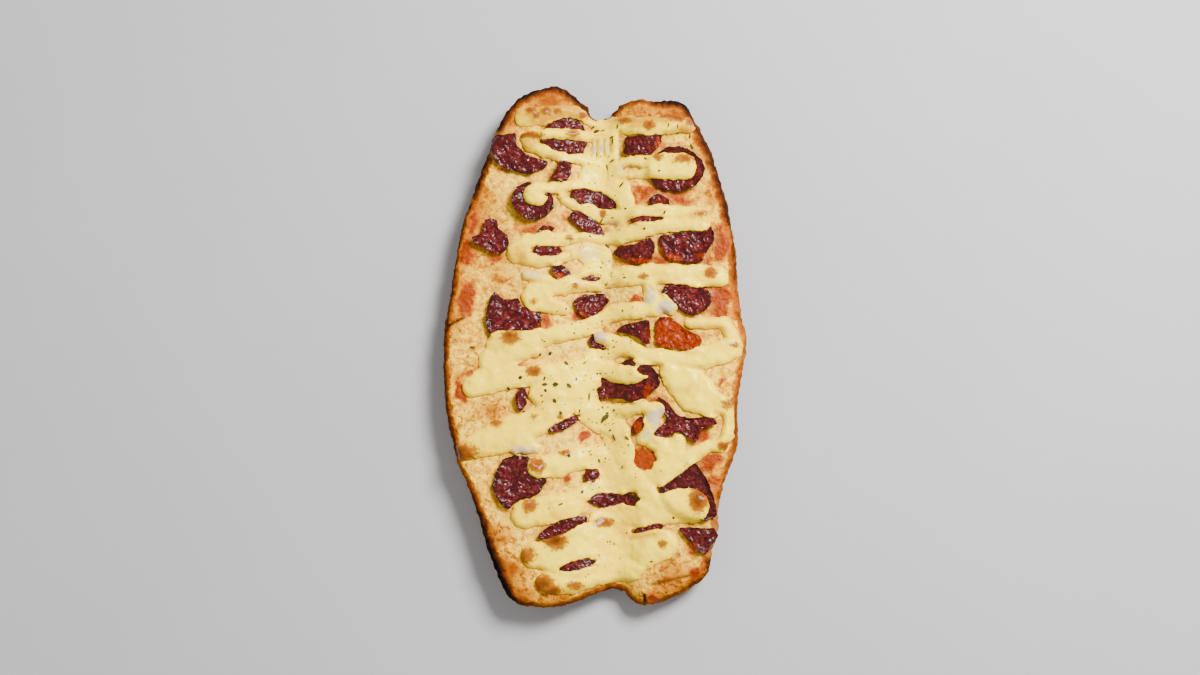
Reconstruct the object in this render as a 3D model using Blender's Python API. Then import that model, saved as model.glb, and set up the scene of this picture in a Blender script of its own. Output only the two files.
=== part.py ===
"""A long bread roll, slit along one side and opened flat like a book, baked with pepperoni and cheese.

The roll lies cut side up, its length along Y and its hinge near X = 0, on the plane Z = 0.
Sizes here are millimetres. Each finished mesh is scaled to metres.
"""

import math
import random

import bmesh
import bpy
import numpy as np
from mathutils import Vector, geometry

MM = 0.001
PLAN_BOX = ((-80.0, -136.0), (80.0, 136.0))

# Main sizes of the opened roll.
HALF_LENGTH = 135.0
HALF_WIDTH = 78.5
FACE_HEIGHT = 20.0
FACE_UNEVEN = 0.7
FACE_WAVES = (19.0, 31.0)
HINGE_DEPTH = 7.5
HINGE_SPREAD = 12.5
RIM_LIFT = 9.5
UNDERSIDE_ROUND = 24.0
HINGE_GROOVE = 6.0
GROOVE_CLEAR = 4.0
SHOULDER_WIDTH = 4.0
SHOULDER_DROP = 3.6
LIP_WIDTH = 6.0
LIP_DROP = 4.5
LIP_PLACE = (42.0, -132.0)
LIP_REACH = 26.0
WALL_BULGE = 0.9
WALL_ROUGHNESS = 0.45
WALL_SEED = 4

# How far apart the points of the roll's mesh lie: round its outline, along and across the hinge, and on
# the open faces above and below. The rings are the rows that follow the outline, by distance from it.
RIM_STEP = 6.2
VALLEY_STEP = 8.5
VALLEY_SIDES = (-16.0, -11.5, -7.5, -3.5, 0.0, 3.5, 7.5, 11.5, 16.0)
VALLEY_RIM_CLEAR = 2.0
FACE_PITCH = 11.5
FACE_RIM_CLEAR = 9.0
FACE_HINGE_CLEAR = 20.0
UNDERSIDE_PITCH = 20.0
UNDERSIDE_RIM_CLEAR = UNDERSIDE_ROUND + 4.0
UNDERSIDE_HINGE_CLEAR = 19.0
CRUST_RINGS = (1.3, 4.2)
UNDERSIDE_RINGS = (7.0, 14.0, UNDERSIDE_ROUND)
UNDERSIDE_EDGE = 2.5

# Clear space between touching pieces.
REST_GAP = 0.7
POCKET_GAP = 0.45

PEPPERONI_THICKNESS = 1.5
SMALL_SLICE = 9.2
SMALL_SLICE_CORNERS = 10
ROUND_SLICE_CORNERS = 14
SLICE_SEED = 100
CURL_START = 0.45
CHEESE_FLOOR = 1.0
CHEESE_EDGE = 0.9
CHEESE_CROWN = 1.7
CHEESE_CROWN_WIDTH = 3.2
CHEESE_COVER = 1.3
CHEESE_COVER_WIDTH = 2.0
DRAPE = 3.0
CHEESE_BLEND = 1.3
CHEESE_MARGIN = 2.4

# How far apart the points of the cheese's mesh lie, the shortest edge loop that is kept, and the share of
# the triangles that is left after thinning.
CONTOUR_PITCH = 1.5
SHORTEST_EDGE = 11.0
CHEESE_EDGE_STEP = 4.8
CHEESE_EDGE_ROW = 1.3
CHEESE_ROW_SLACK = 0.45
CHEESE_PITCH = 6.4
CHEESE_INNER = 3.4
OVER_SLICE_INNER = 0.9
OVER_SLICE_SHARES = (0.6, 1.0, 1.3)
UNDER_CHEESE_PITCH = 9.0
UNDER_CHEESE_INNER = 2.0
UNDER_CHEESE_HINGE = 15.0
UNDER_CHEESE_SIDES = (-11.5, -5.0, 0.0, 5.0, 11.5)
UNDER_CHEESE_STEP = 11.0
CHEESE_KEPT = 0.42

# Places seen from above are read off the photograph, in its pixels: X to the right and Y down.
MM_PER_PIXEL = 0.517
PHOTO_MIDDLE = (595.0, 347.5)

# The roll's outline, from the upper notch over the left side to the lower notch and back.
ROLL_OUTLINE = [
    (601, 119), (591, 117), (587, 107), (579, 100), (570, 95), (563, 87.5), (553, 86), (537, 90), (520, 97),
    (507, 111), (498, 127), (491, 148), (483, 167), (475, 190), (466, 214), (459, 240), (454, 270), (450, 300),
    (445, 328), (443.5, 355), (444, 385), (446, 410), (450, 432), (455, 447), (456, 460), (466, 482), (475, 506),
    (483, 530), (490, 556), (500, 580), (508, 597), (517, 606), (532, 608.5), (550, 609.5), (570, 606),
    (588, 598), (606, 593), (621, 591), (628, 600), (640, 608), (656, 606), (674, 599), (691, 589), (706, 578),
    (709, 564), (711, 550), (717, 536), (716, 518), (720, 496), (726, 476), (735, 455), (737, 436), (736, 412),
    (739, 390), (743, 366), (746, 345), (743, 330), (739, 312), (737, 285), (736, 262), (732, 236), (727, 208),
    (718, 176), (709, 150), (697, 127), (690, 114), (685, 105), (672, 102), (656, 103.5), (643, 100.5),
    (626, 103), (614, 110), (609, 118),
]

# Where the hinge runs: its X at four heights of the picture.
HINGE_LINE = [(602, 119), (603, 300), (607, 460), (620, 592)]

# Every slice that shows: name, centre, half sizes, turn in degrees, how far its rim curls up in mm, and how
# ragged it is.
SLICES = [
    ("upper_left_long", 512, 158, 31, 17, -30, 1.6, 0),
    ("upper_left_under", 566, 141, 23, 19, 0, 0.6, 0),
    ("upper_left_dark", 565, 175, 12, 9, 70, 2.6, 0),
    ("upper_left_cup", 535, 205, 22, 19, -8, 3.6, 0.06),
    ("upper_hinge_cup", 596, 202, 24, 11, -14, 1.8, 0.08),
    ("upper_hinge_fold", 588, 228, 20, 8, -33, 1.4, 0.08),
    ("left_scrap", 548, 234, 8, 4.5, 10, 0.8, 0.15),
    ("left_crumpled", 494, 243, 18, 17, 0, 2.2, 0),
    ("left_slit", 549, 256, 16, 7.5, 0, 0.8, 0.06),
    ("left_tip", 563, 277, 11, 7.5, -35, 1.2, 0.1),
    ("hinge_smile", 592, 280, 11, 6.5, 0, 1.2, 0.05),
    ("left_spiked", 516, 322, 27, 20, 0, 1.6, 0),
    ("hinge_slice", 592, 310, 17, 13, 18, 1.2, 0),
    ("upper_right_block", 644, 150, 20, 11, 0, 1.0, 0),
    ("upper_right_cup", 677, 175, 29, 23, 0, 3.2, 0.06),
    ("upper_right_sauced", 661, 207.5, 11, 7.5, -15, 1.0, 0.1),
    ("right_slit", 649, 224.5, 18, 5.5, 2, 0.6, 0.06),
    ("right_long", 635, 257, 22, 12, 8, 1.2, 0),
    ("right_large", 687, 252, 28, 17, 4, 2.0, 0),
    ("right_glossy", 687, 304, 25, 16, -18, 1.6, 0),
    ("middle_dark", 640, 333, 18, 11, -18, 1.0, 0),
    ("middle_sauced", 678, 340, 24, 15, -18, 1.0, 0),
    ("hinge_drop", 601, 344, 11.5, 8.5, 0, 1.2, 0.06),
    ("middle_cup", 630, 388, 31, 18.5, 0, 3.0, 0),
    ("right_forked", 680, 427, 28, 16, -12, 2.0, 0),
    ("left_folded", 524, 402, 12.5, 5.5, 87, 2.4, 0.06),
    ("left_thin", 566, 427, 17, 5, 25, 1.0, 0.06),
    ("middle_scrap", 639, 429, 10, 5.5, 60, 1.0, 0.1),
    ("lower_left_round", 521, 484, 26, 25, 0, 1.4, 0),
    ("lower_hinge_scrap", 593, 478, 8, 8.5, 0, 1.2, 0.12),
    ("lower_hinge_slice", 615, 502, 25.5, 8.5, 0, 1.0, 0.06),
    ("lower_right_cup", 690, 496, 28, 28, 0, 3.4, 0),
    ("lower_right_corner", 700, 538, 19, 13, 0, 2.2, 0),
    ("lower_left_strip", 565, 530, 27, 8, 22, 1.0, 0.07),
    ("lower_right_thin", 649, 531, 16, 5, 14, 0.8, 0.06),
    ("lowest_slit", 580, 566, 18, 6, 10, 0.8, 0.06),
]

# The slices that shrank to a shape of their own, with their corners in order round the slice.
SLICE_CORNERS = {
    "upper_left_long": [(492, 146), (496, 137), (505, 139), (518, 136), (518, 149), (531, 160), (552, 166),
                        (545, 174), (530, 179), (508, 174), (497, 166), (493, 156)],
    "upper_left_under": [(545, 133), (557, 124), (571, 121), (583, 126), (588, 136), (588, 148), (583, 160),
                         (570, 157), (557, 158), (547, 151), (542, 143)],
    "upper_left_dark": [(565, 163), (573, 166), (573, 178), (568, 187), (561, 185), (552, 184), (557, 176),
                        (560, 168)],
    "left_crumpled": [(487, 222), (499, 223), (501, 233), (510, 239), (511, 248), (506, 257), (495, 258),
                      (484, 250), (475, 248), (474, 241), (483, 238), (485, 230)],
    "left_spiked": [(496, 294), (504, 302), (511, 304), (520, 301), (524, 311), (533, 313), (543, 318),
                    (544, 331), (537, 338), (520, 339), (504, 336), (493, 341), (488, 327), (489, 312)],
    "hinge_slice": [(575, 305), (583, 299), (595, 297), (607, 297), (610, 306), (603, 312), (597, 321),
                    (591, 326), (583, 320), (577, 312)],
    "upper_right_block": [(625, 141), (637, 140), (650, 141), (664, 140), (663, 150), (657, 156), (650, 161),
                          (640, 159), (631, 160), (624, 158), (626, 150)],
    "right_long": [(613, 257), (619, 251), (628, 249), (636, 249), (645, 245), (652, 242), (656, 248),
                   (656, 258), (652, 267), (640, 269), (627, 264), (618, 261)],
    "right_large": [(659, 241), (675, 239), (690, 237), (703, 238), (712, 231), (716, 240), (714, 249),
                    (707, 258), (703, 268), (690, 269), (672, 267), (663, 258), (660, 249)],
    "right_glossy": [(662, 297), (668, 289), (680, 288), (690, 288), (700, 291), (711, 297), (712, 311),
                     (703, 317), (694, 321), (684, 318), (675, 311), (667, 304)],
    "middle_dark": [(615, 335), (622, 330), (632, 327), (643, 325), (651, 325), (652, 338), (652, 349),
                    (645, 348), (638, 341), (628, 338)],
    "middle_sauced": [(656, 326), (662, 321), (673, 322), (680, 329), (690, 336), (702, 341), (701, 357),
                      (690, 357), (680, 353), (668, 352), (657, 350), (656, 339)],
    "middle_cup": [(597, 382), (608, 376), (618, 368), (631, 362), (643, 366), (653, 371), (660, 378),
                   (662, 389), (655, 395), (648, 402), (638, 408), (628, 404), (612, 401), (597, 403),
                   (599, 392)],
    "right_forked": [(657, 399), (668, 405), (678, 419), (690, 422), (712, 420), (719, 428), (703, 431),
                     (697, 447), (690, 442), (682, 435), (670, 438), (660, 446), (650, 442), (657, 433),
                     (668, 424), (664, 413)],
    "lower_left_round": [(504, 464), (512, 458), (530, 459), (541, 466), (547, 475), (549, 484), (541, 497),
                         (530, 500), (519, 503), (511, 513), (500, 501), (495, 489), (498, 475)],
    "lower_right_cup": [(660, 489), (668, 484), (676, 478), (684, 470), (690, 464), (697, 467), (705, 477),
                        (711, 490), (715, 504), (717, 519), (703, 522), (688, 521), (672, 514), (662, 500)],
    "lower_right_corner": [(678, 529), (690, 528), (704, 529), (715, 529), (718, 537), (712, 545), (708, 554),
                           (699, 554), (693, 546), (685, 538)],
}

# The cheese was laid across the roll in strands, which melted together over the hinge. Each strand is a
# list of its middle line's points, with its half width at each.
CHEESE_STRANDS = [
    [(526, 121, 9.5), (545, 119, 9), (562, 115, 6), (577, 115, 5.5), (592, 122, 6), (608, 128, 9)],
    [(529, 139, 5), (545, 138, 4.5), (565, 138.5, 5), (590, 139, 5), (603, 138, 6)],
    [(528, 142, 5.5), (533, 149, 6.5), (547, 156, 5.5), (562, 161, 3.5), (582, 163, 4.5), (598, 166, 10)],
    [(607, 128, 11), (607, 148, 13), (602, 168, 17), (594, 180, 14)],
    [(610, 127, 8), (630, 129, 9), (650, 131, 9), (670, 130, 9), (689, 131, 8)],
    [(605, 172, 11), (625, 172, 11), (645, 172, 11), (665, 172, 12.5), (684, 173, 13.5)],
    [(600, 182, 10), (620, 194, 11), (627, 205, 8), (622, 214, 7)],
    [(538, 198, 12.5), (540, 193, 8), (565, 191, 5), (585, 186, 5), (600, 184, 7)],
    [(560, 196, 4), (566, 204, 3.5), (575, 209, 4.5), (590, 213, 5), (604, 220, 6.5), (620, 220, 8), (640, 216, 5),
     (660, 216, 5.5), (680, 219, 8), (701, 223, 10.5)],
    [(701, 226, 10.5), (680, 229, 7.5), (660, 232, 6.5), (640, 236, 8), (620, 240, 8.5), (605, 244, 5)],
    [(517, 256, 9), (530, 246, 8), (548, 244, 7.5), (565, 243, 7), (585, 241, 4.5), (600, 243, 4.5), (608, 240, 5)],
    [(520, 259, 9), (540, 266, 5), (560, 265, 4.5), (575, 258, 5)],
    [(590, 258, 11), (603, 261, 11)],
    [(529, 279, 6), (548, 284, 5), (560, 289, 5), (576, 287, 7), (588, 274, 5), (604, 270, 8)],
    [(604, 283, 8.5), (625, 280, 10), (650, 279, 10), (675, 279, 9.5), (700, 281, 11), (719, 282, 10.5)],
    [(538, 301, 14.5), (556, 307, 11.5), (566, 313, 6)],
    [(545, 296, 10), (562, 293, 7), (580, 290, 5.5), (600, 290, 5)],
    [(650, 287, 7), (651, 300, 6), (655, 312, 7.5)],
    [(654, 300, 4), (663, 307, 7), (672, 314, 6)],
    [(503, 349, 14.5), (520, 348, 13), (540, 343, 9.5), (560, 338, 8), (580, 334, 8), (600, 325, 7), (615, 316, 8.5),
     (635, 315, 8), (656, 314, 7)],
    [(494, 364, 13), (515, 356, 9), (538, 355, 6)],
    [(474, 390, 10), (490, 384, 13), (515, 378, 13), (545, 377, 11), (570, 373, 8), (590, 362, 8)],
    [(546, 396, 15), (566, 393, 20), (588, 388, 14)],
    [(590, 362, 10), (586, 382, 14), (583, 402, 15), (594, 418, 12), (607, 428, 12)],
    [(601, 341, 6.5), (615, 345, 7), (628, 351, 7)],
    [(598, 362, 8), (625, 349, 8), (642, 360, 8.5), (660, 361, 8), (682, 365, 8), (705, 362, 11), (724, 356, 12),
     (737, 353, 7)],
    [(690, 326, 6), (706, 325, 7.5), (726, 325, 7), (732, 338, 7), (732, 350, 10)],
    [(600, 368, 8), (615, 376, 9.5), (633, 379, 8), (645, 379, 5)],
    [(672, 375, 11), (682, 384, 17), (695, 396, 20), (712, 407, 13.5), (727, 410, 8)],
    [(727, 410, 8), (730, 425, 5.5), (727, 438, 6), (720, 449, 6.5), (708, 449, 5), (695, 457, 7), (680, 465, 9),
     (660, 479, 9)],
    [(608, 415, 9), (625, 414, 7), (642, 410, 6), (656, 414, 8), (652, 428, 7), (643, 442, 6)],
    [(602, 420, 12), (617, 436, 14), (619, 456, 16), (617, 478, 17), (640, 486, 13)],
    [(679, 444, 8), (672, 455, 12), (658, 476, 12)],
    [(648, 443, 6), (665, 450, 9)],
    [(560, 412, 14), (540, 425, 13.5), (520, 433, 16), (500, 440, 17), (482, 447, 13), (465, 455, 9)],
    [(520, 449, 7.5), (538, 450, 5), (528, 440, 8)],
    [(540, 470, 10.5), (560, 467, 12), (580, 461, 11), (602, 458, 12)],
    [(528, 516, 14.5), (550, 511, 14), (575, 505, 12), (590, 492, 8), (605, 487, 8)],
    [(600, 520, 9), (620, 518, 11), (645, 514, 14), (662, 511, 14), (678, 508, 16), (692, 508, 17)],
    [(640, 486, 13), (652, 500, 9)],
    [(605, 520, 8), (602, 540, 16)],
    [(537, 556, 13.5), (560, 554, 20), (585, 545, 20), (610, 545, 22), (640, 551, 20), (664, 545, 15)],
    [(575, 572, 15), (600, 568, 16), (630, 567, 15)],
    [(548, 584, 10.5), (575, 584, 9), (598, 579, 6)],
]

# Gaps that stayed open between strands: two ends and the half width.
CHEESE_GAPS = [
    ((633, 224.5), (665, 224), 2.8), ((556, 301), (573, 304), 2.2), ((521, 368), (548, 364), 3),
    ((564, 569), (596, 562), 4.6), ((633, 533), (662, 527), 2.8), ((541, 540), (588, 520), 4.6),
    ((591, 505), (612, 501), 7.2), ((623, 500), (639, 502), 6.2), ((534, 253), (561, 256), 4.6),
    ((617, 364), (634, 363), 3.2), ((640, 374), (655, 376), 4.2), ((655, 376), (657, 392), 5.5),
    ((601, 394), (640, 396), 8.5), ((584, 283.5), (600, 282), 2), ((546, 199), (560, 200), 1.8),
    ((551, 434), (581, 419), 3), ((553, 357), (589, 351), 7), ((540, 443), (590, 440), 7),
    ((641, 462), (654, 461), 10.5), ((636, 434), (643, 424), 4.8), ((626, 174), (641, 174), 3.2),
    ((592, 474), (594, 483), 5.5), ((557, 273), (568, 278), 4.2), ((577, 202), (592, 200), 7),
    ((597, 197), (616, 210), 4.6), ((575, 221), (604, 236), 5.5), ((564, 168), (566, 182), 7.5),
    ((615, 300), (635, 301), 6.2), ((595, 350), (606, 351), 2.6),
]

# Dried herb flakes that are large enough to show their shape.
HERB_COUNT = 26
HERB_SEED = 11
HERB_SPACING = 5.0
HERB_SPREAD = 13.0
HERB_STRETCHES = ((-60.0, -5.0), (-110.0, 112.0))
HERB_LENGTH = 3.0
HERB_WIDTH = 1.6
HERB_RISE = 0.6
HERB_ROOT = 1.7


def clear_scene():
    """Removes whatever the file held before."""
    for old in list(bpy.data.objects):
        bpy.data.objects.remove(old)


def material(name, colour, roughness):
    """A plain Principled material."""
    made = bpy.data.materials.new(name)
    made.use_nodes = True
    shader = made.node_tree.nodes["Principled BSDF"]
    shader.inputs["Base Color"].default_value = (*colour, 1.0)
    shader.inputs["Roughness"].default_value = roughness
    shader.inputs["Metallic"].default_value = 0.0
    made.diffuse_color = (*colour, 1.0)
    return made


def from_photo(points):
    """Places in the photograph's pixels as millimetres from the roll's middle."""
    x, y = np.array(points, float).T
    return np.column_stack([x - PHOTO_MIDDLE[0], PHOTO_MIDDLE[1] - y]) * MM_PER_PIXEL


def rounded(share):
    """0 at the edge and 1 from share 1 on, rising as a quarter circle does."""
    left = np.clip(1.0 - share, 0.0, 1.0)
    return np.sqrt(1.0 - left * left)


def closed_curve(points, steps):
    """A smooth closed curve through the points, as an array of steps points for each span."""
    p = np.array(points, float)
    t = np.linspace(0, 1, steps, endpoint=False)[:, None]
    spans = []
    for i in range(len(p)):
        a, b, c, d = (p[(i + k) % len(p)] for k in (-1, 0, 1, 2))
        spans.append(
            0.5 * (2 * b + (c - a) * t + (2 * a - 5 * b + 4 * c - d) * t**2 + (3 * b - a - 3 * c + d) * t**3)
        )
    return np.concatenate(spans)


def evenly(loop, spacing):
    """The closed loop again, with points about spacing apart."""
    ends = np.roll(loop, -1, axis=0)
    lengths = np.linalg.norm(ends - loop, axis=1)
    run = np.concatenate([[0.0], np.cumsum(lengths)])
    count = max(6, round(run[-1] / spacing))
    at = np.linspace(0, run[-1], count, endpoint=False)
    whole = np.vstack([loop, loop[:1]])
    return np.column_stack([np.interp(at, run, whole[:, k]) for k in (0, 1)])


def inside_depth(points, loop):
    """How far each point lies inside the closed loop. It is negative outside."""
    points = np.asarray(points, float)
    a, b = loop, np.roll(loop, -1, axis=0)
    span = b - a
    best = np.full(len(points), 1e9)
    crossings = np.zeros(len(points), int)
    for start, end, run in zip(a, b, span):
        offset = points - start
        share = np.clip((offset @ run) / (run @ run), 0, 1)
        best = np.minimum(best, np.linalg.norm(offset - share[:, None] * run, axis=1))
        straddles = (start[1] > points[:, 1]) != (end[1] > points[:, 1])
        if straddles.any():
            meets = start[0] + (points[:, 1] - start[1]) * run[0] / (run[1] or 1e-12)
            crossings += straddles & (points[:, 0] < meets)
    return np.where(crossings % 2 == 1, best, -best)


def roll_loop():
    """The outline, stretched so that it spans the roll's length and width exactly."""
    loop = closed_curve(from_photo(ROLL_OUTLINE), 4)
    low, high = loop.min(0), loop.max(0)
    half = np.array([HALF_WIDTH - WALL_BULGE, HALF_LENGTH - WALL_BULGE])
    return (loop - (low + high) / 2) * (2 * half / (high - low))


ROLL_LOOP = roll_loop()
HINGE_X, HINGE_Y = from_photo(HINGE_LINE[::-1]).T


def hinge_distance(points):
    """How far each point lies from the hinge's line, across the roll."""
    return np.abs(points[:, 0] - np.interp(points[:, 1], HINGE_Y, HINGE_X))


def face_height(points):
    """Height of the cut face, which dips along the hinge and is a little uneven."""
    dip = HINGE_DEPTH * np.exp(-((hinge_distance(points) / HINGE_SPREAD) ** 2))
    across, lengthwise = (points / FACE_WAVES).T
    uneven = FACE_UNEVEN * np.sin(across + 1.1) * np.sin(lengthwise + 0.4)
    return FACE_HEIGHT - dip + uneven


def bread_top(points, loop):
    """Height of the roll's upper side: the cut face, and the crust's shoulder that rounds off its edge."""
    depth = inside_depth(points, loop)
    lip = np.exp(-(((points - LIP_PLACE) / LIP_REACH) ** 2).sum(1))
    width = SHOULDER_WIDTH + LIP_WIDTH * lip
    drop = SHOULDER_DROP + LIP_DROP * lip
    return face_height(points) - drop * (1 - rounded(depth / width))


def bread_bottom(points, loop):
    """Height of the underside: each half of the roll is flat where it rests and rounds up to rim and hinge."""
    depth = np.maximum(inside_depth(points, loop), 0)
    rim = RIM_LIFT * (1 - rounded(depth / UNDERSIDE_ROUND))
    groove = HINGE_GROOVE * (1 - rounded(hinge_distance(points) / UNDERSIDE_ROUND))
    return np.maximum(rim, groove)


def inset(loop, distance, reference):
    """The loop moved inwards, without the points that land closer to the outline than that."""
    tangent = np.roll(loop, -1, axis=0) - np.roll(loop, 1, axis=0)
    tangent /= np.linalg.norm(tangent, axis=1)[:, None]
    inward = np.column_stack([-tangent[:, 1], tangent[:, 0]])
    area = np.sum(loop[:, 0] * np.roll(loop[:, 1], -1) - np.roll(loop[:, 0], -1) * loop[:, 1])
    moved = loop + inward * distance * (1 if area > 0 else -1)
    return moved[inside_depth(moved, reference) > 0.85 * distance]


def lattice(low, high, pitch):
    """Points of a triangular lattice over a rectangle."""
    rows = np.arange(low[1], high[1] + pitch, pitch * math.sqrt(3) / 2)
    found = []
    for i, y in enumerate(rows):
        xs = np.arange(low[0] + (i % 2) * pitch / 2, high[0] + pitch, pitch)
        found.append(np.column_stack([xs, np.full(len(xs), y)]))
    return np.concatenate(found)


def within(points, loops):
    """Which points lie inside an odd number of the closed loops."""
    crossings = np.zeros(len(points), int)
    for loop in loops:
        for start, end in zip(loop, np.roll(loop, -1, axis=0)):
            straddles = (start[1] > points[:, 1]) != (end[1] > points[:, 1])
            if straddles.any():
                rise = (end[1] - start[1]) or 1e-12
                meets = start[0] + (points[:, 1] - start[1]) * (end[0] - start[0]) / rise
                crossings += straddles & (points[:, 0] < meets)
    return crossings % 2 == 1


def sheet_triangles(loops, extra):
    """A flat sheet bounded by closed loops: its points, its triangles, and where each loop's points are."""
    points = [Vector(p) for loop in loops for p in loop] + [Vector(p) for p in extra]
    edges, start = [], 0
    for loop in loops:
        edges += [(start + i, start + (i + 1) % len(loop)) for i in range(len(loop))]
        start += len(loop)
    coords, _, faces, sources, _, _ = geometry.delaunay_2d_cdt(points, edges, [], 0, 1e-6)
    flat = np.array([tuple(p) for p in coords])
    place = {given: made for made, group in enumerate(sources) for given in group}
    faces = [f for f in faces if len(f) == 3]
    wanted = within(np.array([flat[list(f)].mean(0) for f in faces]), loops)
    rims, start = [], 0
    for loop in loops:
        rims.append([place[start + i] for i in range(len(loop))])
        start += len(loop)
    return flat, [f for f, w in zip(faces, wanted) if w], rims


def add_object(name, bm, look):
    """A scene object from a bmesh in millimetres."""
    bmesh.ops.recalc_face_normals(bm, faces=bm.faces[:])
    bmesh.ops.scale(bm, vec=(MM, MM, MM), verts=bm.verts[:])
    mesh = bpy.data.meshes.new(name)
    bm.to_mesh(mesh)
    bm.free()
    mesh.materials.append(look)
    mesh.shade_smooth()
    mesh.set_sharp_from_angle(angle=math.radians(50))
    made = bpy.data.objects.new(name, mesh)
    bpy.context.scene.collection.objects.link(made)
    return made


def slab(name, loops, top_extra, bottom_extra, top_z, bottom_z, wall, look):
    """A closed solid between two sheets that share their loops. wall lists (share of the way down, bulge)."""
    bm = bmesh.new()
    rims = []
    for extra, height in ((top_extra, top_z), (bottom_extra, bottom_z)):
        flat, faces, edges = sheet_triangles(loops, extra)
        heights = height(flat)
        verts = [bm.verts.new((x, y, z)) for (x, y), z in zip(flat, heights)]
        for face in faces:
            bm.faces.new([verts[i] for i in face])
        rims.append([[verts[i] for i in edge] for edge in edges])
        for v in [v for v in verts if not v.link_faces]:
            bm.verts.remove(v)
    for top_rim, bottom_rim in zip(*rims):
        rows = [top_rim]
        ring = np.array([tuple(v.co) for v in top_rim])
        tangent = np.roll(ring, -1, axis=0) - np.roll(ring, 1, axis=0)
        outward = np.column_stack([tangent[:, 1], -tangent[:, 0]])
        outward /= np.linalg.norm(outward, axis=1)[:, None]
        area = np.sum(ring[:, 0] * np.roll(ring[:, 1], -1) - np.roll(ring[:, 0], -1) * ring[:, 1])
        outward *= 1 if area > 0 else -1
        draw = random.Random(WALL_SEED)
        for share, bulge in wall:
            row = []
            for upper, lower, side in zip(top_rim, bottom_rim, outward):
                out = bulge * (1 - WALL_ROUGHNESS * draw.random())
                at = upper.co.lerp(lower.co, share) + Vector((side[0] * out, side[1] * out, 0))
                row.append(bm.verts.new(at))
            rows.append(row)
        rows.append(bottom_rim)
        count = len(top_rim)
        for upper, lower in zip(rows, rows[1:]):
            for i in range(count):
                j = (i + 1) % count
                bm.faces.new((upper[i], upper[j], lower[j], lower[i]))
    return add_object(name, bm, look)


def valley_points(sides, step):
    """Rows of points along the hinge, at these distances to either side of it."""
    rows = [-123.0, -120.0, *np.arange(-116.0, 108.0, step), 112.0, 115.0]
    return np.array([(np.interp(y, HINGE_Y, HINGE_X) + side, y) for y in rows for side in sides])


def make_bread(loop, look):
    """The opened roll: one piece of bread, two halves still joined at the hinge."""
    rim = evenly(loop, RIM_STEP)
    valley = valley_points(VALLEY_SIDES, VALLEY_STEP)
    field = lattice(*PLAN_BOX, FACE_PITCH)
    field = field[(inside_depth(field, loop) > FACE_RIM_CLEAR) & (hinge_distance(field) > FACE_HINGE_CLEAR)]
    rings = [inset(rim, d, loop) for d in CRUST_RINGS]
    upper = np.concatenate([*rings, valley[inside_depth(valley, loop) > VALLEY_RIM_CLEAR], field])
    rings = [inset(rim, UNDERSIDE_EDGE, loop), *(inset(rim, d, loop)[::2] for d in UNDERSIDE_RINGS)]
    deep = lattice(*PLAN_BOX, UNDERSIDE_PITCH)
    deep = deep[inside_depth(deep, loop) > UNDERSIDE_RIM_CLEAR]
    groove = valley[inside_depth(valley, loop) > GROOVE_CLEAR]
    deep = deep[hinge_distance(deep) > UNDERSIDE_HINGE_CLEAR]
    lower = np.concatenate([*rings, groove, deep])
    return slab(
        "bread", [rim], upper, lower,
        lambda p: bread_top(p, loop), lambda p: bread_bottom(p, loop),
        [(0.3, 0.7 * WALL_BULGE), (0.7, WALL_BULGE)], look,
    )


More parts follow.
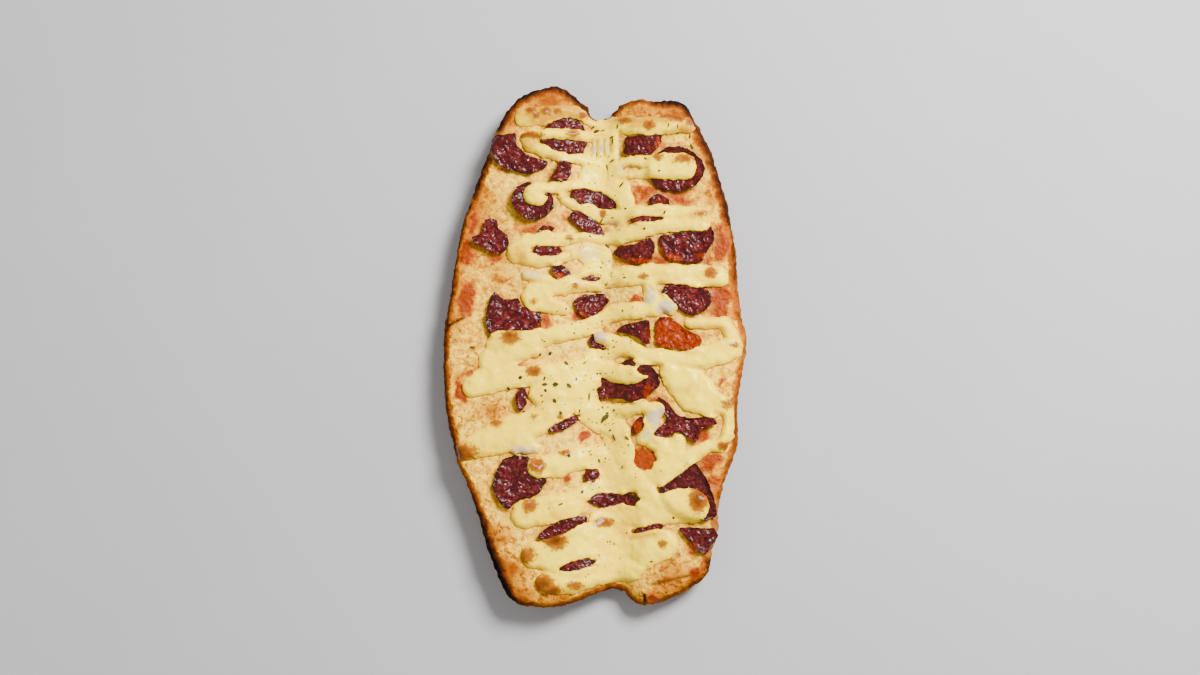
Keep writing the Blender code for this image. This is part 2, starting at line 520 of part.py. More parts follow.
class Slice:
    """One baked slice: where it lies, its ragged outline and its curled rim."""

    def __init__(self, row, order):
        self.name, x, y, long, short, turn, self.curl, self.ragged = row
        self.x, self.y = from_photo([(x, y)])[0]
        self.long, self.short = long * MM_PER_PIXEL, short * MM_PER_PIXEL
        self.turn = math.radians(turn)
        draw = random.Random(SLICE_SEED + order)
        waves = [(k, draw.uniform(0.4, 1.0) / math.sqrt(k), draw.uniform(0, math.tau)) for k in (2, 3, 4, 5, 7)]
        if self.name in SLICE_CORNERS:
            along, across = self.own(from_photo(SLICE_CORNERS[self.name]))
            angles = np.arctan2(across, along)
            order_round = np.argsort(angles)
            self.angles = angles[order_round]
            self.reaches = np.hypot(along, across)[order_round]
        else:
            count = SMALL_SLICE_CORNERS if self.long < SMALL_SLICE else ROUND_SLICE_CORNERS
            self.angles = np.linspace(-math.pi, math.pi, count, endpoint=False)
            self.reaches = 1 + self.ragged / 2 * sum(a * np.cos(k * self.angles + phase) for k, a, phase in waves)
        outward = 0.0 if self.x > np.interp(self.y, HINGE_Y, HINGE_X) else math.pi
        self.lean = outward + draw.uniform(-0.3, 0.3) - self.turn

    def own(self, points):
        """Plan points along and across the slice, in half sizes."""
        c, s = math.cos(self.turn), math.sin(self.turn)
        dx, dy = points[:, 0] - self.x, points[:, 1] - self.y
        return (dx * c + dy * s) / self.long, (dy * c - dx * s) / self.short

    def reach(self, angle):
        """The outline's share of its ellipse at an angle."""
        return np.interp(angle, self.angles, self.reaches, period=math.tau)

    def place(self, share, angle, grow=0.0):
        """Plan position of a point at a share of the way to the outline."""
        reach = self.reach(angle) * share
        along, across = (self.long + grow) * reach * np.cos(angle), (self.short + grow) * reach * np.sin(angle)
        c, s = math.cos(self.turn), math.sin(self.turn)
        return np.column_stack([self.x + along * c - across * s, self.y + along * s + across * c])

    def polar(self, points):
        """Share of the way to the outline, and angle, of plan points."""
        along, across = self.own(points)
        angle = np.arctan2(across, along)
        return np.hypot(along, across) / self.reach(angle), angle

    def rise(self, share, angle):
        """How far the slice curls up above the bread: most at the rim that faces away from the hinge."""
        bend = np.clip((share - CURL_START) / (1 - CURL_START), 0, 1) ** 2
        return self.curl * bend * np.clip(0.45 + 0.6 * np.cos(angle - self.lean), 0.05, 1)

    def top(self, points, loop):
        """Height of the slice's upper side where it lies, falling off softly to the bread around it."""
        share, angle = self.polar(points)
        beyond = np.clip((share - 1.06) * self.short / DRAPE, 0, 1)
        lift = (REST_GAP + PEPPERONI_THICKNESS + self.rise(share, angle)) * (1 - beyond * beyond * (3 - 2 * beyond))
        return bread_top(points, loop) + lift


def make_slice(piece, loop, look, grow=0.0):
    """A dished disc that follows the bread. grow thickens it all round, for the pocket it leaves in the cheese."""
    angles = piece.angles
    count = len(angles)
    bm = bmesh.new()
    sides = []
    for side in (1, -1):
        rings = []
        for share in ((0.62, 1.0) if piece.long < SMALL_SLICE else (0.5, 0.8, 1.0)):
            plan = piece.place(share, angles, grow * share)
            height = bread_top(plan, loop) + REST_GAP + PEPPERONI_THICKNESS / 2 + piece.rise(share, angles)
            height += side * (PEPPERONI_THICKNESS / 2 + grow) * (0.75 if share == 1.0 else 1.0)
            rings.append([bm.verts.new((x, y, z)) for (x, y), z in zip(plan, height)])
        centre = np.array([[piece.x, piece.y]])
        height = float(bread_top(centre, loop)[0]) + REST_GAP + PEPPERONI_THICKNESS / 2
        height += side * (PEPPERONI_THICKNESS / 2 + grow)
        middle = bm.verts.new((piece.x, piece.y, height))
        for i in range(count):
            j = (i + 1) % count
            bm.faces.new((middle, rings[0][i], rings[0][j]))
            for inner, outer in zip(rings, rings[1:]):
                bm.faces.new((inner[i], outer[i], outer[j], inner[j]))
        sides.append(rings[-1])
    for i in range(count):
        j = (i + 1) % count
        bm.faces.new((sides[0][i], sides[1][i], sides[1][j], sides[0][j]))
    return add_object("pepperoni_" + piece.name, bm, look)


def along(points, start, end):
    """How far each point lies from a straight line between two places, and its share of the way along it."""
    run = end - start
    share = np.clip(((points - start) @ run) / (run @ run), 0, 1)
    return np.linalg.norm(points - start - share[:, None] * run, axis=1), share


def strand_field(points):
    """Distance to the melted strands' outline: negative where there is cheese."""
    total = np.zeros(len(points))
    for strand in CHEESE_STRANDS:
        places = from_photo([p[:2] for p in strand])
        halves = [p[2] * MM_PER_PIXEL for p in strand]
        for i in range(len(strand) - 1):
            gap, share = along(points, places[i], places[i + 1])
            gap -= halves[i] + share * (halves[i + 1] - halves[i])
            total += np.exp(-np.clip(gap / CHEESE_BLEND, -40, 40) * 2)
    field = -CHEESE_BLEND / 2 * np.log(total + 1e-30)
    for start, end, half in CHEESE_GAPS:
        gap, share = along(points, *from_photo([start, end]))
        taper = np.sqrt(np.clip(1.15 - (2 * share - 1) ** 2, 0.15, 1))
        field = np.maximum(field, half * MM_PER_PIXEL * taper - gap)
    return np.maximum(field, CHEESE_MARGIN - inside_depth(points, ROLL_LOOP))


def contour_loops(field, low, high, step, shortest):
    """Closed loops along which the field is zero, by walking the cells of a grid."""
    xs, ys = np.arange(low[0], high[0] + step, step), np.arange(low[1], high[1] + step, step)
    grid = np.array(np.meshgrid(xs, ys, indexing="ij"))
    values = field(grid.reshape(2, -1).T).reshape(len(xs), len(ys))
    values[np.abs(values) < 1e-6] = 1e-6
    links = {}

    def crossing(i, j, k, m):
        """Key and place of the zero between two grid corners."""
        a, b = values[i, j], values[k, m]
        share = a / (a - b)
        return (i, j, k, m), (xs[i] + share * (xs[k] - xs[i]), ys[j] + share * (ys[m] - ys[j]))

    places = {}
    for i in range(len(xs) - 1):
        for j in range(len(ys) - 1):
            for corners in (((i, j), (i + 1, j), (i + 1, j + 1)), ((i, j), (i + 1, j + 1), (i, j + 1))):
                cheese = [values[c] < 0 for c in corners]
                if all(cheese) or not any(cheese):
                    continue
                ends = []
                for a, b in ((0, 1), (1, 2), (2, 0)):
                    if cheese[a] != cheese[b]:
                        first, second = sorted((corners[a], corners[b]))
                        key, place = crossing(*first, *second)
                        places[key] = place
                        ends.append(key)
                links.setdefault(ends[0], []).append(ends[1])
                links.setdefault(ends[1], []).append(ends[0])
    loops, seen = [], set()
    for first in links:
        if first in seen:
            continue
        chain, here = [], first
        while here is not None and here not in seen:
            seen.add(here)
            chain.append(places[here])
            here = next((n for n in links[here] if n not in seen), None)
        loop = np.array(chain)
        if np.linalg.norm(loop - np.roll(loop, 1, axis=0), axis=1).sum() > shortest:
            loops.append(loop)
    return loops


def cheese_top(points, loop, slices):
    """Height of the cheese: over bread and slices alike, crowned between its edges."""
    depth = np.clip(-strand_field(points), 0, None)
    body = CHEESE_EDGE + CHEESE_CROWN * rounded(depth / CHEESE_CROWN_WIDTH)
    height = bread_top(points, loop) + CHEESE_FLOOR + body
    for piece in slices:
        height = np.maximum(height, piece.top(points, loop) + CHEESE_COVER * rounded(depth / CHEESE_COVER_WIDTH))
    return height


def cut_or_join(target, others, operation, solver):
    """Applies one Boolean on a collection of the others, and removes them."""
    group = bpy.data.collections.new(operation.lower())
    bpy.context.scene.collection.children.link(group)
    for other in others:
        bpy.context.scene.collection.objects.unlink(other)
        group.objects.link(other)
    modifier = target.modifiers.new(operation.lower(), "BOOLEAN")
    modifier.operation = operation
    modifier.operand_type = "COLLECTION"
    modifier.collection = group
    modifier.solver = solver
    bpy.context.view_layer.update()
    graph = bpy.context.evaluated_depsgraph_get()
    joined = bpy.data.meshes.new_from_object(target.evaluated_get(graph))
    target.modifiers.clear()
    target.data = joined
    for other in others:
        bpy.data.objects.remove(other)
    bpy.data.collections.remove(group)


def drop_scraps(target):
    """Keeps the largest connected piece of a mesh."""
    bm = bmesh.new()
    bm.from_mesh(target.data)
    bmesh.ops.triangulate(bm, faces=bm.faces[:])
    left, pieces = set(bm.faces), []
    while left:
        stack, piece = [left.pop()], []
        while stack:
            face = stack.pop()
            piece.append(face)
            for edge in face.edges:
                for other in edge.link_faces:
                    if other in left and len(edge.link_faces) == 2:
                        left.remove(other)
                        stack.append(other)
        pieces.append(piece)
    pieces.sort(key=len, reverse=True)
    bmesh.ops.delete(bm, geom=[f for piece in pieces[1:] for f in piece], context="FACES")
    bm.to_mesh(target.data)
    bm.free()


def herb_places(loop, slices):
    """Seeded places of the larger herb flakes: most lie over the hinge, and all on thick cheese."""
    draw = random.Random(HERB_SEED)
    found = []
    while len(found) < HERB_COUNT:
        y = draw.choice([draw.uniform(*stretch) for stretch in HERB_STRETCHES])
        x = draw.gauss(2, HERB_SPREAD)
        point = np.array([[x, y]])
        clear = all(math.dist((x, y), other[:2]) > HERB_SPACING for other in found)
        bare = all(piece.polar(point)[0][0] > 1.3 for piece in slices)
        if clear and bare and strand_field(point)[0] < -2.2:
            found.append((x, y, float(cheese_top(point, loop, slices)[0]), draw.uniform(0, math.pi)))
    return found


def make_herb(place, look):
    """A dried leaf flake: a flat lozenge, half sunk in the cheese."""
    x, y, z, turn = place
    bm = bmesh.new()
    end, side = HERB_LENGTH / 2, HERB_WIDTH / 2
    corners = [(end, 0, 0), (0, side, 0), (-end, 0, 0), (0, -side, 0), (0.2, 0, HERB_RISE), (0.2, 0, -HERB_ROOT)]
    c, s = math.cos(turn), math.sin(turn)
    verts = [bm.verts.new((x + a * c - b * s, y + a * s + b * c, z + h)) for a, b, h in corners]
    for i in range(4):
        j = (i + 1) % 4
        bm.faces.new((verts[i], verts[j], verts[4]))
        bm.faces.new((verts[j], verts[i], verts[5]))
    return add_object("herb", bm, look)


def make_cheese(loop, slices, look):
    """The melted strands: one thick skin over bread and slices, hollowed where the slices lie."""
    edges = contour_loops(strand_field, *PLAN_BOX, CONTOUR_PITCH, SHORTEST_EDGE)
    edges = [evenly(edge, CHEESE_EDGE_STEP) for edge in edges]

    def depth(points):
        return -strand_field(points)

    around = []
    for edge in edges:
        tangent = np.roll(edge, -1, axis=0) - np.roll(edge, 1, axis=0)
        normal = np.column_stack([-tangent[:, 1], tangent[:, 0]]) / np.linalg.norm(tangent, axis=1)[:, None]
        for side in (1, -1):
            moved = edge + normal * CHEESE_EDGE_ROW * side
            around.append(moved[np.abs(depth(moved) - CHEESE_EDGE_ROW) < CHEESE_ROW_SLACK][::2])
    field = lattice(*PLAN_BOX, CHEESE_PITCH)
    field = field[depth(field) > CHEESE_INNER]
    angles = np.linspace(0, math.tau, 12, endpoint=False)
    over = np.concatenate([piece.place(share, angles) for piece in slices for share in OVER_SLICE_SHARES])
    over = over[depth(over) > OVER_SLICE_INNER]
    upper = np.concatenate([*around, field, over])
    sparse = lattice(*PLAN_BOX, UNDER_CHEESE_PITCH)
    sparse = sparse[hinge_distance(sparse) > UNDER_CHEESE_HINGE]
    sparse = np.concatenate([sparse, valley_points(UNDER_CHEESE_SIDES, UNDER_CHEESE_STEP)])
    sparse = sparse[depth(sparse) > UNDER_CHEESE_INNER]
    made = slab(
        "melted_cheese", edges, upper, sparse,
        lambda p: cheese_top(p, loop, slices), lambda p: bread_top(p, loop) + CHEESE_FLOOR, [], look,
    )
    pockets = [make_slice(piece, loop, look, POCKET_GAP) for piece in slices]
    cut_or_join(made, pockets, "DIFFERENCE", "EXACT")
    drop_scraps(made)
    modifier = made.modifiers.new("decimate", "DECIMATE")
    modifier.ratio = CHEESE_KEPT
    bpy.context.view_layer.update()
    made.data = bpy.data.meshes.new_from_object(made.evaluated_get(bpy.context.evaluated_depsgraph_get()))
    made.modifiers.clear()
    herbs = [make_herb(place, look) for place in herb_places(loop, slices)]
    cut_or_join(made, herbs, "UNION", "EXACT")
    drop_scraps(made)
    return made


def build():
    """Makes the roll, its slices and the cheese over them."""
    clear_scene()
    loop = roll_loop()
    crust = material("toasted_bread", (0.62, 0.36, 0.15), 0.85)
    meat = material("baked_pepperoni", (0.20, 0.035, 0.03), 0.4)
    melted = material("melted_cheese", (0.86, 0.72, 0.33), 0.45)
    slices = [Slice(row, order) for order, row in enumerate(SLICES)]
    make_bread(loop, crust)
    make_cheese(loop, slices, melted)
    for piece in slices:
        make_slice(piece, loop, meat)


build()
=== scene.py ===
import math
import random

import bmesh
import bpy
import numpy as np
from mathutils import Matrix, Vector, noise
from mathutils.bvhtree import BVHTree
from mathutils.kdtree import KDTree


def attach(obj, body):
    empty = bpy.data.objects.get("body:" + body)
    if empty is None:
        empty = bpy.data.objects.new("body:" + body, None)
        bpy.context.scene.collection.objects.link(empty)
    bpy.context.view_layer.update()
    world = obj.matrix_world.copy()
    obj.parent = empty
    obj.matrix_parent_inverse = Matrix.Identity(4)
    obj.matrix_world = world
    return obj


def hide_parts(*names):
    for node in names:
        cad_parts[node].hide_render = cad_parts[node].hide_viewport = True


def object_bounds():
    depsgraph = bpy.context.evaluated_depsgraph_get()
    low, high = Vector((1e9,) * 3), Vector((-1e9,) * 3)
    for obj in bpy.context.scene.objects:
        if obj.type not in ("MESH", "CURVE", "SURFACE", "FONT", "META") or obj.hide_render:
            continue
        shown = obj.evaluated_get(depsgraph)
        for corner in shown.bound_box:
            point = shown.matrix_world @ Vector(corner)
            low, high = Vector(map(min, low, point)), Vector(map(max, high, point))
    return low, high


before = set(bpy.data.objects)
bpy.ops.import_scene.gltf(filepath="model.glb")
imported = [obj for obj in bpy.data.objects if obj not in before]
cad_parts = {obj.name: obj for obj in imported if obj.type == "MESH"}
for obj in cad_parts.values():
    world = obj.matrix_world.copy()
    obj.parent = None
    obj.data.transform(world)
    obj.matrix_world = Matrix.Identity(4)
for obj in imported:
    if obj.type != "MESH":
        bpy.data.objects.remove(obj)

cad_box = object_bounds()

# Floor, light and camera.
# A pale matt table top. One soft lamp stands in for a window to the upper right, and a weak one fills the
# shadows. The camera looks almost straight down, leaning a little towards the lower right.

MM = 0.001
# Sizes on the photograph: millimetres for each pixel, the pixel at the frame's origin, and the middle pixel
# of what the camera frames.
MM_PER_PIXEL = 0.517
PHOTO_MIDDLE = (595.0, 347.5)
FRAME_MIDDLE = (601.5, 341.5)
FRAME_WIDTH = 614 * MM
CAMERA_HEIGHT = 1150 * MM
CAMERA_LEAN = math.radians(6)
CAMERA_SIDE = math.radians(-45)
FACE_HEIGHT = 20 * MM
FLOOR_HALF = 1.6
FLOOR_TONES = ((0.345, 0.337, 0.337), (0.360, 0.352, 0.352))
ROOM_LIGHT = 0.5
# The lamps: name, place and side in metres, and power in watts.
LAMPS = [("window", (0.62, 0.56, 0.92), 0.40, 55.0), ("bounce", (-0.7, -0.5, 0.9), 1.2, 5.0)]


def from_photo(points):
    """Places in the photograph's pixels as millimetres in the frame, X and Y."""
    x, y = np.array(points, float).reshape(-1, 2).T
    return np.column_stack([x - PHOTO_MIDDLE[0], PHOTO_MIDDLE[1] - y]) * MM_PER_PIXEL


def new_object(name, mesh):
    """A scene object at the origin that holds the mesh."""
    made = bpy.data.objects.new(name, mesh)
    bpy.context.scene.collection.objects.link(made)
    return made


def new_material(name):
    """A material, its node tree and its Principled shader."""
    made = bpy.data.materials.new(name)
    made.use_nodes = True
    return made, made.node_tree, made.node_tree.nodes["Principled BSDF"]


def node(tree, kind, *links, **settings):
    """A shader node. Each link is an input's name or number with a socket or a value for it."""
    made = tree.nodes.new(kind)
    for key, value in settings.items():
        setattr(made, key, value)
    for key, value in links:
        if isinstance(value, bpy.types.NodeSocket):
            tree.links.new(value, made.inputs[key])
        else:
            made.inputs[key].default_value = value
    return made


def grain(tree, size, detail=3.0, roughness=0.55, distortion=0.0):
    """Smooth noise with features of about this size in millimetres."""
    place = node(tree, "ShaderNodeTexCoord").outputs["Object"]
    made = node(
        tree, "ShaderNodeTexNoise", ("Vector", place), ("Scale", 1 / (size * MM)), ("Detail", detail),
        ("Roughness", roughness), ("Distortion", distortion),
    )
    return made.outputs["Fac"]


def ramp(tree, value, *stops):
    """A colour ramp with stops of (place, colour or grey)."""
    made = node(tree, "ShaderNodeValToRGB", ("Fac", value))
    band = made.color_ramp
    while len(band.elements) < len(stops):
        band.elements.new(1.0)
    for element, (place, colour) in zip(band.elements, stops):
        element.position = place
        element.color = (*(colour if isinstance(colour, tuple) else (colour,) * 3), 1.0)
    return made.outputs["Color"]


floor_mesh = bpy.data.meshes.new("floor")
bm = bmesh.new()
bmesh.ops.create_grid(bm, x_segments=1, y_segments=1, size=FLOOR_HALF)
bm.to_mesh(floor_mesh)
bm.free()
floor = new_object("floor", floor_mesh)
material, tree, shader = new_material("pale_floor")
tone = ramp(tree, grain(tree, 160), (0.3, FLOOR_TONES[0]), (0.7, FLOOR_TONES[1]))
tree.links.new(tone, shader.inputs["Base Color"])
shader.inputs["Roughness"].default_value = 0.7
floor_mesh.materials.append(material)

world = bpy.data.worlds.new("soft_room")
bpy.context.scene.world = world
world.use_nodes = True
background = world.node_tree.nodes["Background"]
background.inputs["Color"].default_value = (1.0, 1.0, 1.0, 1.0)
background.inputs["Strength"].default_value = ROOM_LIGHT

for name, place, size, power in LAMPS:
    lamp = bpy.data.lights.new(name, "AREA")
    lamp.size = size
    lamp.energy = power
    lamp_object = bpy.data.objects.new(name, lamp)
    lamp_object.location = place
    lamp_object.rotation_mode = "QUATERNION"
    lamp_object.rotation_quaternion = (-Vector(place)).to_track_quat("-Z", "Y")
    bpy.context.scene.collection.objects.link(lamp_object)

aim = Vector((*(from_photo([FRAME_MIDDLE])[0] * MM), FACE_HEIGHT))
lean = math.sin(CAMERA_LEAN)
back = Vector((lean * math.cos(CAMERA_SIDE), lean * math.sin(CAMERA_SIDE), math.cos(CAMERA_LEAN)))
right = Vector((0, 1, 0)).cross(back).normalized()
camera_data = bpy.data.cameras.new("camera")
camera_data.sensor_width = 36.0
camera_data.lens = camera_data.sensor_width * CAMERA_HEIGHT / FRAME_WIDTH
camera = bpy.data.objects.new("camera", camera_data)
camera.location = aim + back * CAMERA_HEIGHT
camera.rotation_mode = "QUATERNION"
camera.rotation_quaternion = Matrix((right, back.cross(right), back)).transposed().to_quaternion()
bpy.context.scene.collection.objects.link(camera)
bpy.context.scene.camera = camera

# The roll.
# A soft white roll, slit along one side and opened flat. The cut face is toasted crumb, pale with orange
# specks and pores, and turns golden, brown and then black towards its rim. The crust outside is golden brown.
# Shade is painted into the pores and cracks, and onto the crumb beside each slice.

CRUMB_VOXEL = 1.0 * MM
CRUMB_ROUNDS = 6
# How far stains stray, in millimetres, and how far a spot of crust passes on its darkness, squared.
CRUMB_SWIRL = 3.2
CRUST_SPREAD = 30
# The rim is where faces are this steep or more and this high, and its crags reach in this far.
RIM_STEEPNESS = 0.35
RIM_HEIGHT = 4
RIM_REACH = 2.5
# Around each slice the crumb is browned this far, and this strongly: partly paprika oil that soaked in,
# partly painted shade where the slice shades the crumb.
OIL_AND_SHADE_REACH = 1.9
OIL_AND_SHADE_SHARE = 0.85
# Relief, as (height, size) of its waves in millimetres, and then the seed.
CRUMB_RELIEF = [(0.35, 9.0, 1.0), (0.42, 2.8, 5.0)]
RIM_RELIEF = (0.75, 2.8, 9.0)
OUTER_RELIEF = (0.3, 3.5, 13.0)
PORE_GAP = 2.1
SPECK_SIZE = 2.9
# How far in the crust is baked, in millimetres, and how dark: gain for each unit of darkness, and least.
BAKED_REACH = (3.4, 2.4)
BAKED_DARKNESS = (0.85, 0.16)
CRUMB_TONES = ((0.90, 0.535, 0.028), (0.75, 0.35, 0.012))
CRUMB_FLECK = (0.96, 0.64, 0.05)
CRUMB_MOTTLE = (0.50, 0.18, 0.003)
CRUMB_DAMP = (0.88, 0.56, 0.05)
TOAST_TONES = ((0.56, 0.22, 0.004), (0.24, 0.046, 0.001))
SPECK_TONE = (0.24, 0.052, 0.001)
# The pores' tone is painted shade, as in hollows.
PORE_SHADE_TONE = (0.22, 0.060, 0.003)
CRUST_TONES = [
    (0.0, (0.52, 0.19, 0.004)), (0.22, (0.27, 0.064, 0.002)), (0.45, (0.12, 0.026, 0.003)),
    (0.68, (0.036, 0.010, 0.004)), (0.95, (0.008, 0.004, 0.003)),
]
SAUCE_HALO = (0.46, 0.11, 0.001)
SAUCE_TONES = ((0.27, 0.030, 0.001), (0.17, 0.018, 0.001))
# The crumb beside each slice: oil stain and painted shade.
OIL_AND_SHADE_TONE = (0.46, 0.165, 0.022)
# Painted shade inside the cracks and pits.
CRACK_SHADE_TONE = (0.045, 0.012, 0.004)
OUTER_TONES = ((0.34, 0.105, 0.004), (0.18, 0.046, 0.003))
# How dark the crust's edge is baked: place in the photograph's pixels, and darkness from 0 to 1.
CRUST_CHAR = [
    (553, 86, 0.95), (530, 92, 0.95), (508, 108, 0.9), (494, 140, 0.95), (483, 170, 0.8),
    (472, 205, 0.8), (461, 235, 0.55), (456, 260, 0.6), (450, 295, 0.6), (445, 330, 0.55),
    (443, 365, 0.5), (445, 400, 0.6), (450, 430, 0.45), (454, 445, 0.7), (460, 468, 0.15),
    (468, 485, 0.3), (474, 503, 0.75), (484, 530, 0.85), (492, 555, 1.2), (500, 580, 1.3),
    (510, 600, 1.2), (520, 606, 0.5), (545, 609, 0.15), (580, 602, 0.15), (605, 593, 0.4),
    (628, 600, 0.45), (650, 607, 0.15), (680, 597, 0.1), (704, 580, 0.35), (709, 566, 0.9),
    (712, 548, 0.2), (718, 510, 0.35), (728, 470, 0.3), (737, 430, 0.45), (738, 395, 0.2),
    (746, 345, 0.1), (740, 312, 0.5), (736, 270, 0.6), (728, 215, 0.85), (712, 160, 0.85),
    (695, 122, 0.7), (684, 105, 1.1), (668, 102, 1.0), (645, 100, 0.5), (625, 104, 0.5),
    (613, 112, 0.8), (600, 119, 0.3), (590, 115, 0.7), (584, 104, 1.1), (570, 95, 0.9),
]
# Where the crumb is toasted golden: place, radius and strength.
CRUMB_TOAST = [
    (548, 96, 26, 1.2), (508, 122, 18, 1.0), (575, 112, 14, 0.8), (482, 205, 20, 0.8),
    (468, 245, 20, 0.9), (456, 280, 14, 0.8), (455, 325, 14, 0.7), (450, 375, 10, 0.6),
    (640, 112, 30, 0.75), (678, 118, 20, 1.0), (700, 150, 12, 0.8), (716, 200, 12, 0.7),
    (510, 285, 22, 0.4), (480, 372, 16, 0.6), (494, 414, 16, 0.7), (453, 430, 12, 0.5),
    (478, 500, 12, 0.8), (496, 540, 18, 0.9), (510, 575, 20, 1.1), (520, 600, 20, 1.1),
    (560, 604, 22, 0.9), (596, 590, 16, 0.7), (670, 582, 24, 0.8), (700, 575, 16, 0.8),
    (655, 600, 18, 0.8), (715, 490, 12, 0.8), (730, 290, 9, 0.6), (741, 340, 8, 0.7),
    (735, 430, 9, 0.7), (545, 330, 10, 0.8), (503, 200, 14, 0.4), (493, 268, 14, 0.5),
    (484, 268, 6, 0.8), (498, 261, 5, 0.7), (501, 283, 7, 0.8), (487, 292, 6, 0.7), (509, 298, 6, 0.6),
    (478, 225, 16, 0.8),
]
# Where sauce and paprika oil soaked in: place, two radii and strength.
CRUMB_SAUCE = [
    (468, 304, 10, 18, 1.3), (463, 392, 6, 10, 1.3), (473, 380, 11, 3, 0.7), (474, 225, 6, 18, 0.9),
    (470, 255, 8, 18, 1.0), (535, 230, 20, 8, 0.75), (664, 200, 28, 12, 1.1), (646, 266, 26, 6, 1.1),
    (720, 250, 9, 20, 1.1), (720, 306, 16, 16, 1.3), (546, 328, 6, 10, 0.9), (582, 322, 9, 7, 1.1),
    (584, 441, 6, 5, 1.2), (646, 462, 17, 12, 1.3), (703, 438, 8, 10, 1.1), (710, 464, 10, 11, 1.2),
    (712, 485, 8, 10, 0.75), (721, 389, 5, 7, 0.9), (694, 571, 9, 6, 1.1), (568, 481, 6, 6, 0.9),
    (652, 599, 8, 7, 0.95), (510, 172, 10, 4, 0.7), (556, 179, 10, 5, 0.75), (614, 203, 18, 10, 0.6),
    (638, 303, 5, 6, 1.0), (700, 266, 20, 6, 1.0), (660, 148, 7, 7, 0.7), (498, 260, 10, 4, 0.9),
    (655, 404, 9, 7, 1.0), (524, 366, 8, 3, 0.6), (690, 548, 9, 7, 0.8), (566, 222, 6, 8, 0.6),
    (597, 436, 9, 4, 0.6), (645, 300, 5, 8, 0.6),
]
# Where the crumb is pale and damp: place, two radii and strength.
CRUMB_PALE = [
    (508, 192, 16, 16, 0.9), (600, 152, 22, 16, 0.9), (585, 205, 26, 14, 1.0), (590, 250, 30, 16, 1.0),
    (560, 278, 36, 12, 0.9), (610, 300, 30, 14, 1.0), (565, 354, 34, 12, 0.7), (560, 443, 34, 10, 1.1),
    (590, 484, 16, 14, 0.9), (700, 210, 18, 10, 0.7), (640, 225, 26, 8, 0.7), (620, 502, 26, 10, 0.8),
    (515, 275, 24, 12, 0.6), (560, 180, 26, 8, 0.6), (695, 385, 20, 12, 0.5), (712, 440, 12, 20, 0.5),
]
# Cracks and pits in the crumb, sunk into it and painted dark inside as shade: two ends, half width and depth
# in millimetres.
CRUMB_CRACKS = [
    ((449, 329), (465, 321), 0.7, 1.3), ((644, 596), (645, 603), 0.9, 1.8),
    ((472, 351), (476, 351), 0.8, 1.2), ((652, 585), (690, 576), 0.9, 0.8),
    ((485, 192), (495, 197), 0.5, 0.6), ((452, 350), (456, 342), 0.5, 0.7),
    ((499, 541), (507, 541), 0.5, 0.6), ((664, 570), (680, 554), 0.5, 0.6),
]


def dots(tree, size):
    """Distance to the nearest of scattered points that lie about this far apart in millimetres."""
    place = node(tree, "ShaderNodeTexCoord").outputs["Object"]
    made = node(tree, "ShaderNodeTexVoronoi", ("Vector", place), ("Scale", 1 / (size * MM)))
    return made.outputs["Distance"]


def painted(tree, name):
    """A value that the mesh holds at each vertex."""
    return node(tree, "ShaderNodeAttribute", attribute_name=name).outputs["Fac"]


def mix(tree, share, low, high):
    """A mix of two colours."""
    made = node(tree, "ShaderNodeMix", data_type="RGBA")
    for key, value in ((0, share), (6, low), (7, high)):
        if isinstance(value, bpy.types.NodeSocket):
            tree.links.new(value, made.inputs[key])
        else:
            made.inputs[key].default_value = (*value, 1.0) if isinstance(value, tuple) else value
    return made.outputs[2]


def times(tree, first, second):
    """A product of two values, held between 0 and 1."""
    made = node(tree, "ShaderNodeMath", (0, first), (1, second), operation="MULTIPLY", use_clamp=True)
    return made.outputs[0]


def scaled(tree, value, factor, offset):
    """The value times a factor, plus an offset."""
    made = node(tree, "ShaderNodeMath", (0, value), (1, factor), (2, offset), operation="MULTIPLY_ADD")
    return made.outputs[0]


def stirred(tree, value, pattern, reach):
    """The value with a noise pattern added, which spans about this much up and down."""
    lowered = node(tree, "ShaderNodeMath", (0, value), (1, -reach), operation="ADD").outputs[0]
    return scaled(tree, pattern, 2 * reach, lowered)


def bumps(tree, *layers):
    """Stacked bump maps, each (height, strength, distance in millimetres)."""
    normal = None
    for height, strength, distance in layers:
        links = [("Height", height), ("Strength", strength), ("Distance", distance * MM)]
        if normal is not None:
            links.append(("Normal", normal))
        normal = node(tree, "ShaderNodeBump", *links).outputs["Normal"]
    return normal


def mesh_arrays(mesh):
    """The mesh's vertex places in millimetres and its vertex normals."""
    places = np.empty(len(mesh.vertices) * 3, np.float32)
    normals = np.empty(len(mesh.vertices) * 3, np.float32)
    mesh.vertices.foreach_get("co", places)
    mesh.vertex_normals.foreach_get("vector", normals)
    return places.reshape(-1, 3).astype(float) / MM, normals.reshape(-1, 3).astype(float)


def set_places(mesh, places):
    """Moves the mesh's vertices to these places, in millimetres, held within the part's box."""
    mesh.vertices.foreach_set("co", np.clip(places * MM, *cad_box).astype(np.float32).ravel())
    mesh.update()


def paint(mesh, name, values):
    """Stores one value for each vertex."""
    mesh.attributes.new(name, "FLOAT", "POINT").data.foreach_set("value", np.asarray(values, np.float32))


def waves(places, size, seed, octaves=3):
    """Smooth noise from about -1 to 1 at 2-D or 3-D places, with features of this size in millimetres."""
    shift = Vector((seed, seed * 0.7, seed * 1.3))
    places = np.column_stack([places, np.zeros(len(places))]) if places.shape[1] == 2 else places
    return np.array([noise.fractal(Vector(p) + shift, 1.0, 2.0, octaves) for p in (places / size).tolist()])


def waved(places, layer):
    """Heights in millimetres of one layer of waves (height, size, seed)."""
    height, size, seed = layer
    return height * waves(places, size, seed)


def pools(places, spots):
    """The strongest of soft round spots (x, y, radius, [radius,] strength) at each place."""
    total = np.zeros(len(places))
    for x, y, *radii, strength in spots:
        offset = (places[:, :2] - from_photo([(x, y)])[0]) / MM_PER_PIXEL / (radii[0], radii[-1])
        total = np.maximum(total, strength * np.exp(-0.9 * (offset**2).sum(1)))
    return total


